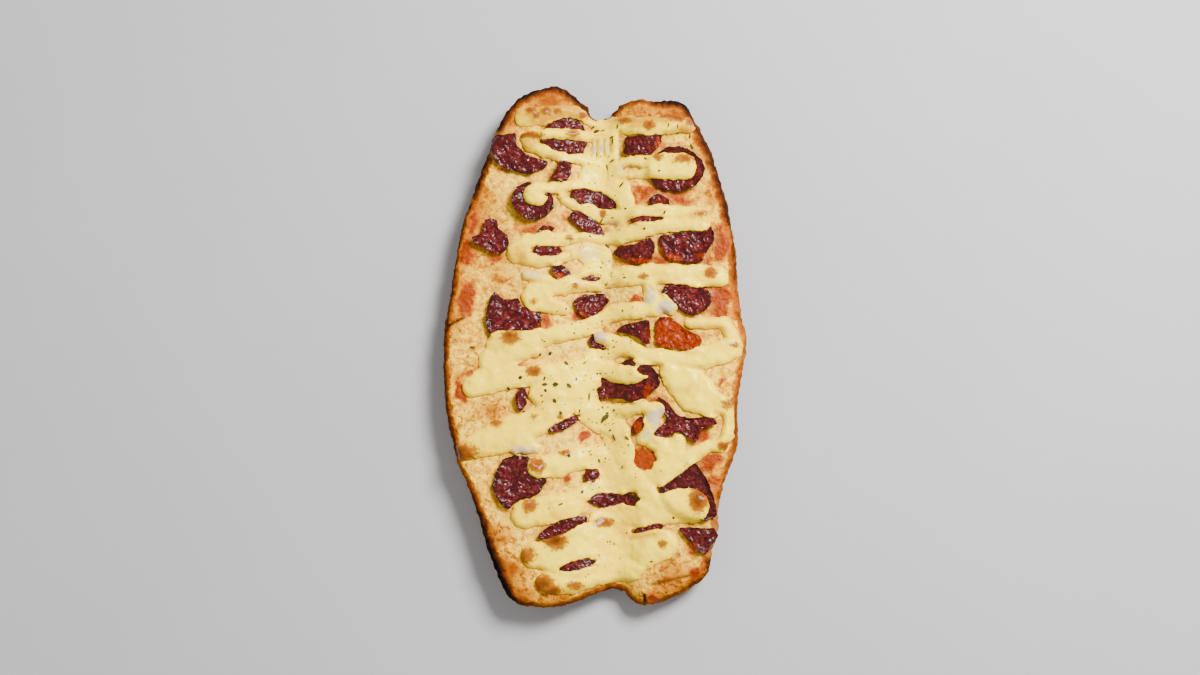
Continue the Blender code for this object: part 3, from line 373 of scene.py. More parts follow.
def beside(points, start, end):
    """Distance of each point from a straight line between two places, and its share of the way along."""
    run = end - start
    share = np.clip(((points - start) @ run) / (run @ run), 0, 1)
    return np.linalg.norm(points - start - share[:, None] * run, axis=1), share


def lines(places, marks):
    """How deep each place lies in thin grooves (start, end, half width in millimetres, depth)."""
    total = np.zeros(len(places))
    for start, end, half, deep in marks:
        gap, _ = beside(places[:, :2], *from_photo([start, end]))
        total = np.maximum(total, deep * np.exp(-((gap / half) ** 2)))
    return total


def smooth_step(values, low, high):
    """0 below low, 1 above high, and an even slope between."""
    share = np.clip((values - low) / (high - low), 0, 1)
    return share * share * (3 - 2 * share)


def tree_of(points):
    """A search tree over points as seen from above."""
    made = KDTree(len(points))
    for index, point in enumerate(points):
        made.insert((point[0], point[1], 0), index)
    made.balance()
    return made


def welded(source):
    """An object with a copy of a CAD mesh whose corners are joined."""
    mesh = source.copy()
    bm = bmesh.new()
    bm.from_mesh(mesh)
    bmesh.ops.remove_doubles(bm, verts=bm.verts, dist=0.001 * MM)
    bm.to_mesh(mesh)
    bm.free()
    return new_object("copy", mesh)


def taken(copy):
    """The object's mesh with its modifiers applied. The object itself goes."""
    made = bpy.data.meshes.new_from_object(copy.evaluated_get(bpy.context.evaluated_depsgraph_get()))
    bpy.data.objects.remove(copy)
    made.materials.clear()
    return made


copy = welded(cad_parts["bread"].data)
even = copy.modifiers.new("even", "REMESH")
even.mode = "VOXEL"
even.voxel_size = CRUMB_VOXEL
soft = copy.modifiers.new("soft", "SMOOTH")
soft.factor = 0.5
soft.iterations = CRUMB_ROUNDS
bread_mesh = taken(copy)
bread_mesh.name = "toasted_roll"
places, normals = mesh_arrays(bread_mesh)
rim = places[(np.abs(normals[:, 2]) < RIM_STEEPNESS) & (places[:, 2] > RIM_HEIGHT)]
rim_tree = tree_of(rim)
depth = np.array([rim_tree.find((p[0], p[1], 0))[2] for p in places])
solids = [solid for name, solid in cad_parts.items() if name.startswith("pepperoni_")]
slice_tree = tree_of(np.vstack([mesh_arrays(solid.data)[0] for solid in solids]))
by_slice = np.array([slice_tree.find((p[0], p[1], 0))[2] for p in places])
faces_up = smooth_step(normals[:, 2], -0.1, 0.5)
over_floor = smooth_step(places[:, 2], 3, 7)
near_rim = np.exp(-depth / RIM_REACH)
relief = faces_up * sum(waved(places, layer) for layer in CRUMB_RELIEF)
relief += near_rim * waved(places, RIM_RELIEF) + (1 - faces_up) * waved(places, OUTER_RELIEF)
cracks = lines(places, CRUMB_CRACKS)
set_places(bread_mesh, places + normals * ((relief - cracks * faces_up) * over_floor)[:, None])
char, weights = np.zeros(len(places)), np.zeros(len(places))
for x, y, dark in CRUST_CHAR:
    weight = 1 / (((places[:, :2] - from_photo([(x, y)])[0]) ** 2).sum(1) + CRUST_SPREAD) ** 2
    char += weight * dark
    weights += weight
char = char / weights
ragged = places[:, :2] + CRUMB_SWIRL * np.column_stack([waves(places, 8.0, 61.0), waves(places, 8.0, 67.0)])
paint(bread_mesh, "char", char)
paint(bread_mesh, "depth", depth)
paint(bread_mesh, "toast", pools(ragged, CRUMB_TOAST))
paint(bread_mesh, "sauce", pools(ragged, CRUMB_SAUCE))
paint(bread_mesh, "pale", pools(ragged, CRUMB_PALE))
# How far in a crack or pit each vertex lies, for its painted shade.
paint(bread_mesh, "crack_shade", np.clip(cracks, 0, 1) * faces_up)
charred_top = np.clip(char, 0, 1) * smooth_step(places[:, 2], 9, 15)
paint(bread_mesh, "outside", (1 - smooth_step(normals[:, 2], 0.1, 0.5)) * (1 - charred_top))
# Painted shade and oil beside each slice.
paint(bread_mesh, "oil_and_shade", OIL_AND_SHADE_SHARE * np.exp(-((by_slice / OIL_AND_SHADE_REACH) ** 2)))
bread_mesh.shade_smooth()
roll = new_object("toasted_roll", bread_mesh)

material, tree, shader = new_material("toasted_bread")
char_now = painted(tree, "char")
broad = grain(tree, 11, 4)
fine = grain(tree, 2.4, 4, 0.6)
crumb = mix(tree, ramp(tree, broad, (0.38, 0.0), (0.62, 1.0)), *CRUMB_TONES)
crumb = mix(tree, ramp(tree, fine, (0.45, 0.0), (0.68, 0.9)), crumb, CRUMB_FLECK)
crumb = mix(tree, ramp(tree, fine, (0.32, 0.95), (0.46, 0.0)), crumb, CRUMB_MOTTLE)
pale_now = stirred(tree, painted(tree, "pale"), grain(tree, 6, 4, 0.6), 0.35)
crumb = mix(tree, ramp(tree, pale_now, (0.25, 0.0), (0.8, 0.8)), crumb, CRUMB_DAMP)
toast_now = stirred(tree, painted(tree, "toast"), grain(tree, 7.5, 4, 0.65), 0.4)
crumb = mix(tree, ramp(tree, toast_now, (0.15, 0.0), (0.6, 0.85)), crumb, TOAST_TONES[0])
crumb = mix(tree, ramp(tree, toast_now, (0.5, 0.0), (1.0, 0.95)), crumb, TOAST_TONES[1])
speck_patches = stirred(tree, painted(tree, "toast"), grain(tree, 14, 2), 0.8)
speck_patches = ramp(tree, speck_patches, (0.1, 0.45), (0.7, 1.0))
specks = ramp(tree, grain(tree, SPECK_SIZE, 3, 0.62, 0.5), (0.50, 0.0), (0.60, 1.0))
crumb = mix(tree, times(tree, specks, speck_patches), crumb, SPECK_TONE)
# Painted shade: the crumb is darker in its pores, where the hollows lie in shade.
pore_shade = ramp(tree, dots(tree, PORE_GAP), (0.05, 1.0), (0.28, 0.0))
crumb = mix(tree, times(tree, pore_shade, ramp(tree, fine, (0.4, 0.1), (0.6, 0.8))), crumb, PORE_SHADE_TONE)
baked = stirred(tree, painted(tree, "depth"), grain(tree, 4.5, 4, 0.7), 3.0)
reach = scaled(tree, char_now, *BAKED_REACH)
baked = node(tree, "ShaderNodeMath", (0, baked), (1, reach), operation="DIVIDE").outputs[0]
baked = node(tree, "ShaderNodeMath", (0, 1.0), (1, baked), operation="SUBTRACT", use_clamp=True).outputs[0]
crust = ramp(tree, times(tree, baked, scaled(tree, char_now, *BAKED_DARKNESS)), *CRUST_TONES)
colour = mix(tree, ramp(tree, baked, (0.0, 0.0), (0.3, 1.0)), crumb, crust)
sauce_now = stirred(tree, painted(tree, "sauce"), grain(tree, 3.6, 4, 0.65), 0.6)
colour = mix(tree, ramp(tree, sauce_now, (0.16, 0.0), (0.5, 0.8)), colour, SAUCE_HALO)
stain = mix(tree, ramp(tree, fine, (0.35, 0.0), (0.65, 1.0)), *SAUCE_TONES)
colour = mix(tree, ramp(tree, sauce_now, (0.42, 0.0), (0.72, 0.95)), colour, stain)
# Beside each slice the crumb is browned: oil that soaked in, and painted shade from the slice.
colour = mix(tree, painted(tree, "oil_and_shade"), colour, OIL_AND_SHADE_TONE)
# Painted shade: the cracks and pits are dark inside.
colour = mix(tree, painted(tree, "crack_shade"), colour, CRACK_SHADE_TONE)
outer = mix(tree, ramp(tree, broad, (0.35, 0.0), (0.65, 1.0)), *OUTER_TONES)
colour = mix(tree, painted(tree, "outside"), colour, outer)
tree.links.new(colour, shader.inputs["Base Color"])
wet = ramp(tree, sauce_now, (0.35, 0.0), (0.75, 1.0))
tree.links.new(ramp(tree, wet, (0.0, 0.9), (1.0, 0.3)), shader.inputs["Roughness"])
tree.links.new(ramp(tree, wet, (0.0, 0.02), (1.0, 0.08)), shader.inputs["Specular IOR Level"])
relief = bumps(tree, (broad, 0.4, 1.6), (fine, 0.9, 1.0), (dots(tree, PORE_GAP), 0.5, 0.6))
tree.links.new(relief, shader.inputs["Normal"])
bread_mesh.materials.append(material)
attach(roll, "root")
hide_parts("bread")

# The pepperoni.
# Thin slices of cured sausage. In the oven they shrank, crinkled and curled, their rims dried almost black,
# and fat came out as oil, which leaves some of them glossy and orange.

# Heights of the folds in millimetres, in the middle and more at the rim, and how far the rim frays.
CRINKLE = 0.42
RIM_CRINKLE = 0.6
FINE_CRINKLE = 0.18
RIM_RAGS = 0.7
RIM_BINS = 48
MEAT_TONES = [(0.36, (0.028, 0.002, 0.002)), (0.50, (0.062, 0.006, 0.006)), (0.66, (0.14, 0.018, 0.014))]
# Painted shade for the slices' folds.
FOLD_SHADE_TONE = (0.030, 0.003, 0.003)
FAT_TONE = (0.32, 0.09, 0.075)
DRIED_RIM = (0.020, 0.004, 0.003)
OIL_TONES = ((0.15, 0.012, 0.001), (0.25, 0.030, 0.001))
# Where oil and sauce lie on the slices: place, two radii and strength.
SLICE_OIL = [
    (678, 341, 27, 17, 1.5), (664, 206, 10, 7, 0.5), (640, 267, 20, 4, 1.1), (672, 264, 12, 5, 1.0),
    (662, 258, 4, 8, 0.8), (498, 260, 9, 3, 1.1), (649, 396, 5, 9, 1.0), (540, 334, 5, 8, 0.8),
    (581, 321, 7, 6, 1.2), (639, 431, 5, 8, 1.0), (704, 262, 9, 5, 0.7), (690, 548, 8, 6, 0.9),
    (660, 149, 4, 7, 0.8), (560, 281, 8, 5, 0.9), (702, 440, 5, 8, 0.8), (612, 199, 6, 5, 0.6),
    (508, 176, 9, 4, 0.6), (548, 237, 6, 3, 0.5), (560, 180, 6, 4, 0.5),
]


def rim_share(places):
    """How far out each vertex of a slice lies, from 0 in its middle to 1 at its rim, and its offset."""
    flat = places[:, :2]
    offset = flat - (flat.min(0) + flat.max(0)) / 2
    turn = (np.arctan2(offset[:, 1], offset[:, 0]) + math.pi) / math.tau * RIM_BINS
    far = np.linalg.norm(offset, axis=1)
    widest = np.zeros(RIM_BINS)
    np.maximum.at(widest, turn.astype(int) % RIM_BINS, far)
    filled = widest > 0
    middles = np.arange(RIM_BINS) + 0.5
    return np.clip(far / np.interp(turn, middles[filled], widest[filled], period=RIM_BINS), 0, 1), offset


material, tree, shader = new_material("baked_pepperoni")
pebbles = grain(tree, 1.9, 4, 0.65)
meat = ramp(tree, pebbles, *MEAT_TONES)
# Painted shade: dark patches stand in for the shade in the folds of each slice.
fold_shade = ramp(tree, grain(tree, 5, 3), (0.47, 0.0), (0.60, 0.75))
meat = mix(tree, fold_shade, meat, FOLD_SHADE_TONE)
fat = ramp(tree, dots(tree, 1.7), (0.0, 1.0), (0.25, 0.0))
fat = times(tree, fat, ramp(tree, grain(tree, 4, 2), (0.48, 0.0), (0.6, 0.7)))
meat = mix(tree, fat, meat, FAT_TONE)
dried = stirred(tree, painted(tree, "rim"), grain(tree, 3.8, 3), 0.2)
meat = mix(tree, ramp(tree, dried, (0.84, 0.0), (1.0, 0.8)), meat, DRIED_RIM)
oil_now = stirred(tree, painted(tree, "oil"), grain(tree, 3.2, 3, 0.6), 0.35)
oil = mix(tree, ramp(tree, pebbles, (0.4, 0.0), (0.6, 1.0)), *OIL_TONES)
meat = mix(tree, ramp(tree, oil_now, (0.35, 0.0), (0.7, 0.92)), meat, oil)
tree.links.new(meat, shader.inputs["Base Color"])
tree.links.new(ramp(tree, grain(tree, 2.9, 3), (0.35, 0.15), (0.7, 0.35)), shader.inputs["Roughness"])
tree.links.new(ramp(tree, oil_now, (0.3, 0.14), (0.7, 0.08)), shader.inputs["Specular IOR Level"])
relief = bumps(tree, (grain(tree, 4.2, 1, 0.5, 0.8), 0.9, 2.0), (grain(tree, 1.5, 0), 0.3, 0.4))
tree.links.new(relief, shader.inputs["Normal"])

slices = []
for name, solid in sorted(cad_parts.items()):
    if not name.startswith("pepperoni_"):
        continue
    copy = welded(solid.data)
    for kind in ("SIMPLE", "CATMULL_CLARK"):
        finer = copy.modifiers.new("finer", "SUBSURF")
        finer.subdivision_type = kind
        finer.levels = finer.render_levels = 1 if kind == "SIMPLE" else 2
    mesh = taken(copy)
    mesh.name = name + "_baked"
    places, normals = mesh_arrays(mesh)
    share, outward = rim_share(places)
    outward = outward / (np.linalg.norm(outward, axis=1)[:, None] + 1e-6)
    level = places * (1, 1, 0.15)
    seed = 3.0 + 2 * len(slices)
    folds = (CRINKLE + RIM_CRINKLE * share**4) * waves(level, 4.4, seed)
    places[:, 2] += folds + FINE_CRINKLE * waves(level, 1.6, seed + 50)
    places[:, :2] += outward * (RIM_RAGS * share**6 * (waves(level, 2.6, seed + 90) - 0.15))[:, None]
    set_places(mesh, places)
    paint(mesh, "rim", share)
    paint(mesh, "oil", pools(places, SLICE_OIL))
    mesh.materials.append(material)
    mesh.shade_smooth()
    piece = new_object(name + "_baked", mesh)
    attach(piece, "root")
    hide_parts(name)
    slices.append(piece)

# The melted cheese.
# Strips of mild yellow cheese, laid across the roll and baked. They slumped over bread and slices, ran
# together along the hinge and blistered brown in spots. Where they ran thin they are greyish and clear.

# In millimetres: the mesh's pitch, how softly strands join, and how far they stay from the rim.
CHEESE_GRID = 0.63
CHEESE_BLEND = 1.3
CHEESE_MARGIN = 1.0
# Thickness in millimetres: everywhere, and more over a strand's middle, then the gap below and the soft edge.
CHEESE_THIN = 0.9
CHEESE_CROWN = 1.9
CHEESE_SEAT = 0.1
CHEESE_EDGE = 2.0
CHEESE_LUMPS = [(0.7, 7.0, 33.0), (0.35, 3.2, 39.0)]
CHEESE_GRAIN = (0.08, 1.8, 45.0)
# Cheese lies only where bread or a slice is at least this high. Rays start above everything, in metres.
LEAST_CARRIER = 8
ABOVE_ALL = 0.1
CHEESE_TONES = [(0.32, (0.96, 0.70, 0.002)), (0.5, (0.94, 0.64, 0.001)), (0.7, (0.86, 0.52, 0.001))]
CHEESE_PALE = (0.97, 0.76, 0.02)
GOLD_TONE = (0.44, 0.17, 0.001)
CLEAR_TONE = (0.40, 0.31, 0.26)
# Strand edges: thin golden cheese, and painted shade.
THIN_EDGE_AND_SHADE_TONE = (0.70, 0.32, 0.001)
# Painted shade in the creases.
CREASE_SHADE_TONE = (0.26, 0.15, 0.01)
BLISTER_HALO = (0.54, 0.29, 0.001)
BLISTER_TONES = [
    (0.20, (0.38, 0.175, 0.001)), (0.36, (0.27, 0.095, 0.001)), (0.52, (0.24, 0.060, 0.001)),
    (0.78, (0.19, 0.036, 0.002)), (1.0, (0.09, 0.018, 0.003)),
]
# Each strand is a list of its middle line's points on the photograph, with its half width at each.
CHEESE_STRANDS = [
    [(526, 121, 9.5), (545, 119, 9), (562, 115, 6), (577, 115, 5.5), (592, 122, 6), (608, 128, 9)],
    [(529, 139, 5), (545, 138, 4.5), (565, 138.5, 5), (590, 139, 5), (603, 138, 6)],
    [(528, 142, 5.5), (533, 149, 6.5), (547, 156, 5.5), (562, 161, 3.5), (582, 163, 4.5),
     (598, 166, 10)],
    [(607, 128, 11), (607, 148, 13), (602, 168, 17), (594, 180, 14)],
    [(610, 127, 8), (630, 129, 9), (650, 131, 9), (670, 130, 9), (689, 131, 8)],
    [(605, 172, 11), (625, 172, 11), (645, 172, 11), (665, 172, 12.5), (684, 173, 13.5)],
    [(600, 182, 10), (620, 194, 11), (627, 205, 8), (622, 214, 7)],
    [(538, 198, 12.5), (540, 193, 8), (565, 191, 5), (585, 186, 5), (600, 184, 7)],
    [(560, 196, 4), (566, 204, 3.5), (575, 209, 4.5), (590, 213, 5), (604, 220, 6.5), (620, 220, 8),
     (640, 216, 5), (660, 216, 5.5), (680, 219, 8), (701, 223, 10.5)],
    [(701, 226, 10.5), (680, 229, 7.5), (660, 232, 6.5), (640, 236, 8), (620, 240, 8.5), (605, 244, 5)],
    [(517, 256, 9), (530, 246, 8), (548, 244, 7.5), (565, 243, 7), (585, 241, 4.5), (600, 243, 4.5),
     (608, 240, 5)],
    [(520, 259, 9), (540, 266, 5), (560, 265, 4.5), (575, 258, 5)],
    [(590, 258, 11), (603, 261, 11)],
    [(529, 279, 6), (548, 284, 5), (560, 289, 5), (576, 287, 7), (588, 274, 5), (604, 270, 8)],
    [(604, 283, 8.5), (625, 280, 10), (650, 279, 10), (675, 279, 9.5), (700, 281, 11),
     (719, 282, 10.5)],
    [(538, 301, 14.5), (556, 307, 11.5), (566, 313, 6)],
    [(545, 296, 10), (562, 293, 7), (580, 290, 5.5), (600, 290, 5)],
    [(650, 287, 7), (651, 300, 6), (655, 312, 7.5)],
    [(654, 300, 4), (663, 307, 7), (672, 314, 6)],
    [(503, 349, 14.5), (520, 348, 13), (540, 343, 9.5), (560, 338, 8), (580, 334, 8), (600, 325, 7),
     (615, 316, 8.5), (635, 315, 8), (656, 314, 7)],
    [(494, 364, 13), (515, 356, 9), (538, 355, 6)],
    [(474, 390, 10), (490, 384, 13), (515, 378, 13), (545, 377, 11), (570, 373, 8), (590, 362, 8)],
    [(546, 396, 15), (566, 393, 20), (588, 388, 14)],
    [(590, 362, 10), (586, 382, 14), (583, 402, 15), (594, 418, 12), (607, 428, 12)],
    [(601, 341, 6.5), (615, 345, 7), (628, 351, 7)],
    [(598, 362, 8), (625, 349, 8), (642, 360, 8.5), (660, 361, 8), (682, 365, 8), (705, 362, 11),
     (724, 356, 12), (737, 353, 7)],
    [(690, 328, 5), (706, 328, 5.5), (724, 328, 5.5), (731, 339, 6.5), (732, 350, 10)],
    [(600, 368, 8), (615, 376, 9.5), (633, 379, 8), (645, 379, 5)],
    [(672, 375, 11), (682, 384, 17), (695, 396, 20), (712, 407, 13.5), (727, 410, 8)],
    [(727, 410, 8), (730, 425, 5.5), (727, 438, 6), (720, 449, 6.5), (708, 449, 5), (695, 457, 7),
     (680, 465, 9), (660, 479, 9)],
    [(608, 415, 9), (625, 414, 7), (642, 410, 6), (656, 414, 8), (652, 428, 7), (643, 442, 6)],
    [(602, 420, 12), (617, 436, 14), (619, 456, 16), (617, 478, 17), (640, 486, 13)],
    [(679, 444, 8), (672, 455, 12), (658, 476, 12)],
    [(648, 443, 6), (665, 450, 9)],
    [(560, 412, 14), (540, 425, 13.5), (520, 433, 16), (500, 440, 17), (482, 447, 13), (465, 455, 9)],
    [(520, 449, 7.5), (538, 450, 5), (528, 440, 8)],
    [(540, 470, 10.5), (560, 467, 12), (580, 461, 11), (602, 458, 12)],
    [(528, 516, 14.5), (550, 511, 14), (575, 505, 12), (590, 492, 8), (605, 487, 8)],
    [(600, 520, 9), (620, 518, 11), (645, 514, 14), (662, 511, 14), (678, 508, 16), (692, 508, 17)],
    [(640, 486, 13), (652, 500, 9)],
    [(605, 520, 8), (602, 540, 16)],
    [(537, 556, 13.5), (560, 554, 20), (585, 545, 20), (610, 545, 22), (640, 551, 20), (664, 545, 15)],
    [(575, 572, 15), (600, 568, 16), (630, 567, 15)],
    [(548, 584, 10.5), (575, 584, 9), (598, 579, 6)],
]
# Drops of clear cheese that ran over: place, radii and height in millimetres.
CHEESE_DROPS = [
    (600, 341, 10, 6, 1.3), (657, 424, 8, 12, 0.9), (668, 312, 9, 6, 0.9), (603, 206, 5, 6, 0.9),
    (524, 453, 9, 4, 0.6),
]
# Gaps between strands: two ends and the half width.
CHEESE_GAPS = [
    ((633, 224.5), (665, 224), 2.8), ((556, 301), (573, 304), 2.2), ((521, 368), (548, 364), 3),
    ((564, 569), (596, 562), 4.6), ((633, 533), (662, 527), 2.8), ((541, 540), (588, 520), 4.6),
    ((591, 505), (612, 501), 7.2), ((623, 500), (639, 502), 6.2), ((534, 253), (561, 256), 4.6),
    ((617, 364), (634, 363), 3.2), ((640, 374), (655, 376), 4.2), ((655, 376), (657, 392), 5.5),
    ((601, 394), (640, 396), 8.5), ((584, 283.5), (600, 282), 2), ((546, 199), (560, 200), 1.8),
    ((551, 434), (581, 419), 3), ((553, 357), (589, 351), 7), ((540, 443), (590, 440), 7),
    ((641, 462), (654, 461), 10.5), ((636, 434), (643, 424), 4.8), ((626, 174), (641, 174), 3.2),
    ((592, 474), (594, 483), 5.5), ((557, 273), (568, 278), 4.2), ((577, 202), (592, 200), 7),
    ((597, 197), (616, 210), 4.6), ((575, 221), (604, 236), 5.5), ((564, 168), (566, 182), 7.5),
    ((615, 300), (635, 301), 6.2), ((595, 350), (606, 351), 2.6),
]
# Thin creases between strands that touch, sunk into the cheese and painted darker as shade: two ends, half
# width and depth in millimetres.
CHEESE_CREASES = [
    ((590, 137), (607, 138), 0.45, 0.7), ((598, 144), (598, 160), 0.7, 1.3),
    ((592, 143), (592, 158), 0.7, 1.3), ((605, 143), (605, 158), 0.7, 1.2),
    ((611, 141), (612, 155), 0.7, 1.2), ((620, 134), (620, 164), 0.6, 0.9),
    ((607, 170), (612, 164), 0.4, 0.7), ((612, 164), (620, 162), 0.4, 0.7),
    ((607, 170), (609, 182), 0.4, 0.7), ((632, 170), (641, 174), 0.6, 1.2),
    ((641, 174), (650, 173), 0.4, 0.8), ((568, 170), (577, 180), 0.5, 0.7),
    ((585, 338), (585, 360), 0.5, 0.8), ((570, 367), (585, 360), 0.5, 0.6),
    ((548, 352), (575, 344), 0.4, 0.6), ((582, 412), (579, 420), 0.4, 0.9),
    ((571, 243), (573, 262), 0.5, 0.9), ((552, 269), (572, 284), 0.4, 0.8),
    ((617, 236), (623, 229), 0.5, 0.7), ((604, 222), (602, 232), 0.4, 0.6),
    ((590, 286), (620, 290), 0.4, 0.6), ((650, 290), (656, 298), 0.4, 0.7),
    ((571, 448), (600, 444), 0.5, 1.0), ((555, 452), (575, 450), 0.4, 0.6),
    ((655, 526), (666, 525), 0.4, 0.7), ((600, 424), (607, 419), 0.4, 0.5),
    ((645, 163), (649, 165), 0.4, 0.8), ((628, 138), (634, 136), 0.4, 0.7),
    ((560, 204), (572, 199), 0.4, 0.9), ((606, 211), (622, 213), 0.5, 0.9),
    ((596, 250), (605, 254), 0.5, 0.8), ((612, 262), (628, 266), 0.4, 0.5),
    ((536, 438), (545, 446), 0.4, 0.6), ((600, 434), (612, 441), 0.5, 0.8),
    ((552, 505), (570, 503), 0.4, 0.5), ((660, 300), (652, 292), 0.4, 0.5),
]
# Brown blisters: place, two radii and darkness.
CHEESE_BLISTERS = [
    (533, 114, 5, 3.5, 0.95), (538, 119, 4, 3, 0.8), (548, 115, 5, 4, 0.95), (559, 115, 4, 3, 0.8),
    (584, 118, 4, 3, 0.85), (530, 139, 11, 3, 0.95), (575, 138, 6, 3.5, 0.65), (625, 124, 7, 3, 0.9),
    (641, 120, 5, 2.5, 0.8), (651, 130, 5, 4, 0.95), (667, 121, 6, 2.5, 0.9), (679, 122, 8, 4, 1.05),
    (692, 127, 4, 5, 0.85), (660, 163, 5, 4, 0.6), (685, 165, 9, 4, 0.7), (604, 217, 4, 4, 0.65),
    (711, 278, 5.5, 4.5, 0.85), (645, 281, 5, 3, 0.5), (577, 290, 4, 3, 0.45), (572, 270, 4, 3, 0.7),
    (513, 341, 8, 7, 0.7), (513, 339, 4, 4, 0.85), (536, 375, 7, 4, 0.9), (485, 339, 5, 5, 0.75),
    (499, 426, 6, 4, 0.65), (465, 455, 12, 7, 1.1), (540, 468, 7, 6, 0.85), (567, 456, 6, 3, 0.7),
    (533, 507, 6, 6, 0.85), (699, 501, 7, 10, 1.2), (558, 541, 9, 7, 1.05), (530, 556, 8, 7, 0.65),
    (546, 584, 8, 7, 1.15), (555, 590, 7, 4, 1.0), (577, 586, 7, 4, 0.6), (663, 545, 5, 4, 0.5),
    (724, 449, 6, 4, 0.85), (735, 350, 5, 3, 0.5), (734, 403, 3, 5, 1.1), (571, 242, 4, 3, 0.6),
    (727, 408, 6, 5, 0.5), (703, 219, 7, 3, 0.5), (536, 306, 4, 3, 0.4), (536, 420, 4, 3, 0.4),
    (605, 524, 8, 4, 0.8), (592, 563, 4, 3, 0.6), (736, 452, 2, 5, 1.0), (563, 420, 4, 3, 0.45),
]
# Where the cheese is baked golden: place, two radii and strength.
CHEESE_GOLD = [
    (556, 117, 36, 12, 1.0), (650, 123, 46, 9, 0.75), (533, 146, 12, 10, 0.6), (690, 135, 14, 8, 0.8),
    (520, 257, 14, 10, 0.6), (500, 345, 12, 10, 0.4), (525, 555, 10, 14, 0.6), (540, 596, 24, 6, 0.8),
    (466, 452, 16, 10, 0.6), (700, 222, 16, 10, 0.4), (640, 536, 26, 7, 0.45), (690, 392, 16, 14, 0.35),
]
# Where the cheese ran thin and clear: place, two radii and strength.
CHEESE_CLEAR = [
    (630, 174, 12, 6, 0.9), (594, 151, 3, 9, 1.1), (602, 151, 3, 8, 1.0), (610, 151, 3, 8, 1.0),
    (620, 150, 2, 10, 1.0), (592, 257, 20, 12, 0.8), (650, 300, 7, 12, 1.0), (667, 312, 11, 8, 1.2),
    (600, 341, 11, 7, 1.3), (570, 354, 20, 7, 0.9), (658, 422, 11, 14, 1.2), (646, 438, 8, 8, 1.0),
    (526, 453, 14, 6, 1.2), (535, 278, 22, 9, 0.8), (612, 230, 9, 6, 1.0), (645, 229, 16, 5, 0.5),
    (617, 502, 8, 8, 1.0), (560, 442, 26, 7, 0.8), (528, 474, 4, 9, 1.0), (593, 488, 8, 6, 0.8),
    (555, 160, 16, 5, 0.5), (577, 228, 9, 8, 0.8), (640, 371, 12, 4, 0.7), (605, 206, 6, 7, 1.2),
    (610, 266, 16, 5, 0.6), (540, 215, 8, 4, 0.6), (590, 434, 14, 5, 0.7), (640, 470, 20, 3, 0.4),
    (612, 294, 16, 4, 0.5), (720, 372, 12, 6, 0.6), (710, 436, 8, 8, 0.7), (572, 200, 8, 4, 0.6),
    (622, 190, 6, 6, 0.5),
]


def strand_field(points):
    """Distance to the strands' joint outline, negative inside, and nearness to a strand's middle line."""
    total, crown = np.zeros(len(points)), np.zeros(len(points))
    for strand in CHEESE_STRANDS:
        line = from_photo([p[:2] for p in strand])
        halves = [p[2] * MM_PER_PIXEL for p in strand]
        for i in range(len(strand) - 1):
            gap, share = beside(points, line[i], line[i + 1])
            half = halves[i] + share * (halves[i + 1] - halves[i])
            crown = np.maximum(crown, np.sqrt(np.clip(1 - (gap / half) ** 2, 0, 1)))
            total += np.exp(-np.clip((gap - half) / CHEESE_BLEND, -40, 40) * 2)
    field = -CHEESE_BLEND / 2 * np.log(total + 1e-30)
    for start, end, half in CHEESE_GAPS:
        gap, share = beside(points, *from_photo([start, end]))
        taper = np.sqrt(np.clip(1.15 - (2 * share - 1) ** 2, 0.15, 1))
        field = np.maximum(field, half * MM_PER_PIXEL * taper - gap)
    return field, crown


def tree_over(objects):
    """One search tree over several objects."""
    verts, faces = [], []
    for piece in objects:
        start = len(verts)
        verts += [v.co.copy() for v in piece.data.vertices]
        faces += [[start + i for i in p.vertices] for p in piece.data.polygons]
    return BVHTree.FromPolygons(verts, faces)


def softened(grid, known, reach):
    """The grid blurred over the cells that are known."""
    kernel = np.exp(-0.5 * (np.arange(-3 * reach, 3 * reach + 1) / reach) ** 2)
    top, bottom = np.where(known, grid, 0.0), known.astype(float)
    for axis in (0, 1):
        top = np.apply_along_axis(lambda row: np.convolve(row, kernel, "same"), axis, top)
        bottom = np.apply_along_axis(lambda row: np.convolve(row, kernel, "same"), axis, bottom)
    return top / np.maximum(bottom, 1e-9)


def skin(name, places, field, low, high, pitch):
    """A closed layer between two heights, over the grid's places where the field is negative.

    Its outermost vertices move onto the line where the field is zero.
    """
    inside = field < 0.65 * pitch
    cells = inside[:-1, :-1] & inside[1:, :-1] & inside[1:, 1:] & inside[:-1, 1:]
    slope = np.stack(np.gradient(field, pitch), axis=2)
    slope /= np.maximum((slope**2).sum(2), 0.25)[..., None]
    used = np.zeros(field.shape, int)
    for dx, dy in ((0, 0), (1, 0), (1, 1), (0, 1)):
        used[dx:dx + cells.shape[0], dy:dy + cells.shape[1]] += cells
    border = (used > 0) & (used < 4)
    moved = np.where(border[..., None], places - slope * field[..., None], places)
    number = np.full(field.shape, -1)
    number[used > 0] = np.arange((used > 0).sum())
    count = number.max() + 1
    flat = moved[used > 0]
    verts = np.vstack([np.column_stack([flat, high[used > 0]]), np.column_stack([flat, low[used > 0]])])
    corners = np.stack([number[:-1, :-1], number[1:, :-1], number[1:, 1:], number[:-1, 1:]], axis=2)[cells]
    faces = np.vstack([corners, corners[:, ::-1] + count]).tolist()
    edges = {tuple(e) for k in range(4) for e in corners[:, [k, (k + 1) % 4]].tolist()}
    walls = [(a, a + count, b + count, b) for a, b in edges if (b, a) not in edges]
    mesh = bpy.data.meshes.new(name)
    mesh.from_pydata(np.clip(verts * MM, *cad_box).tolist(), [], faces + walls)
    mesh.validate()
    mesh.shade_smooth()
    return mesh, used > 0


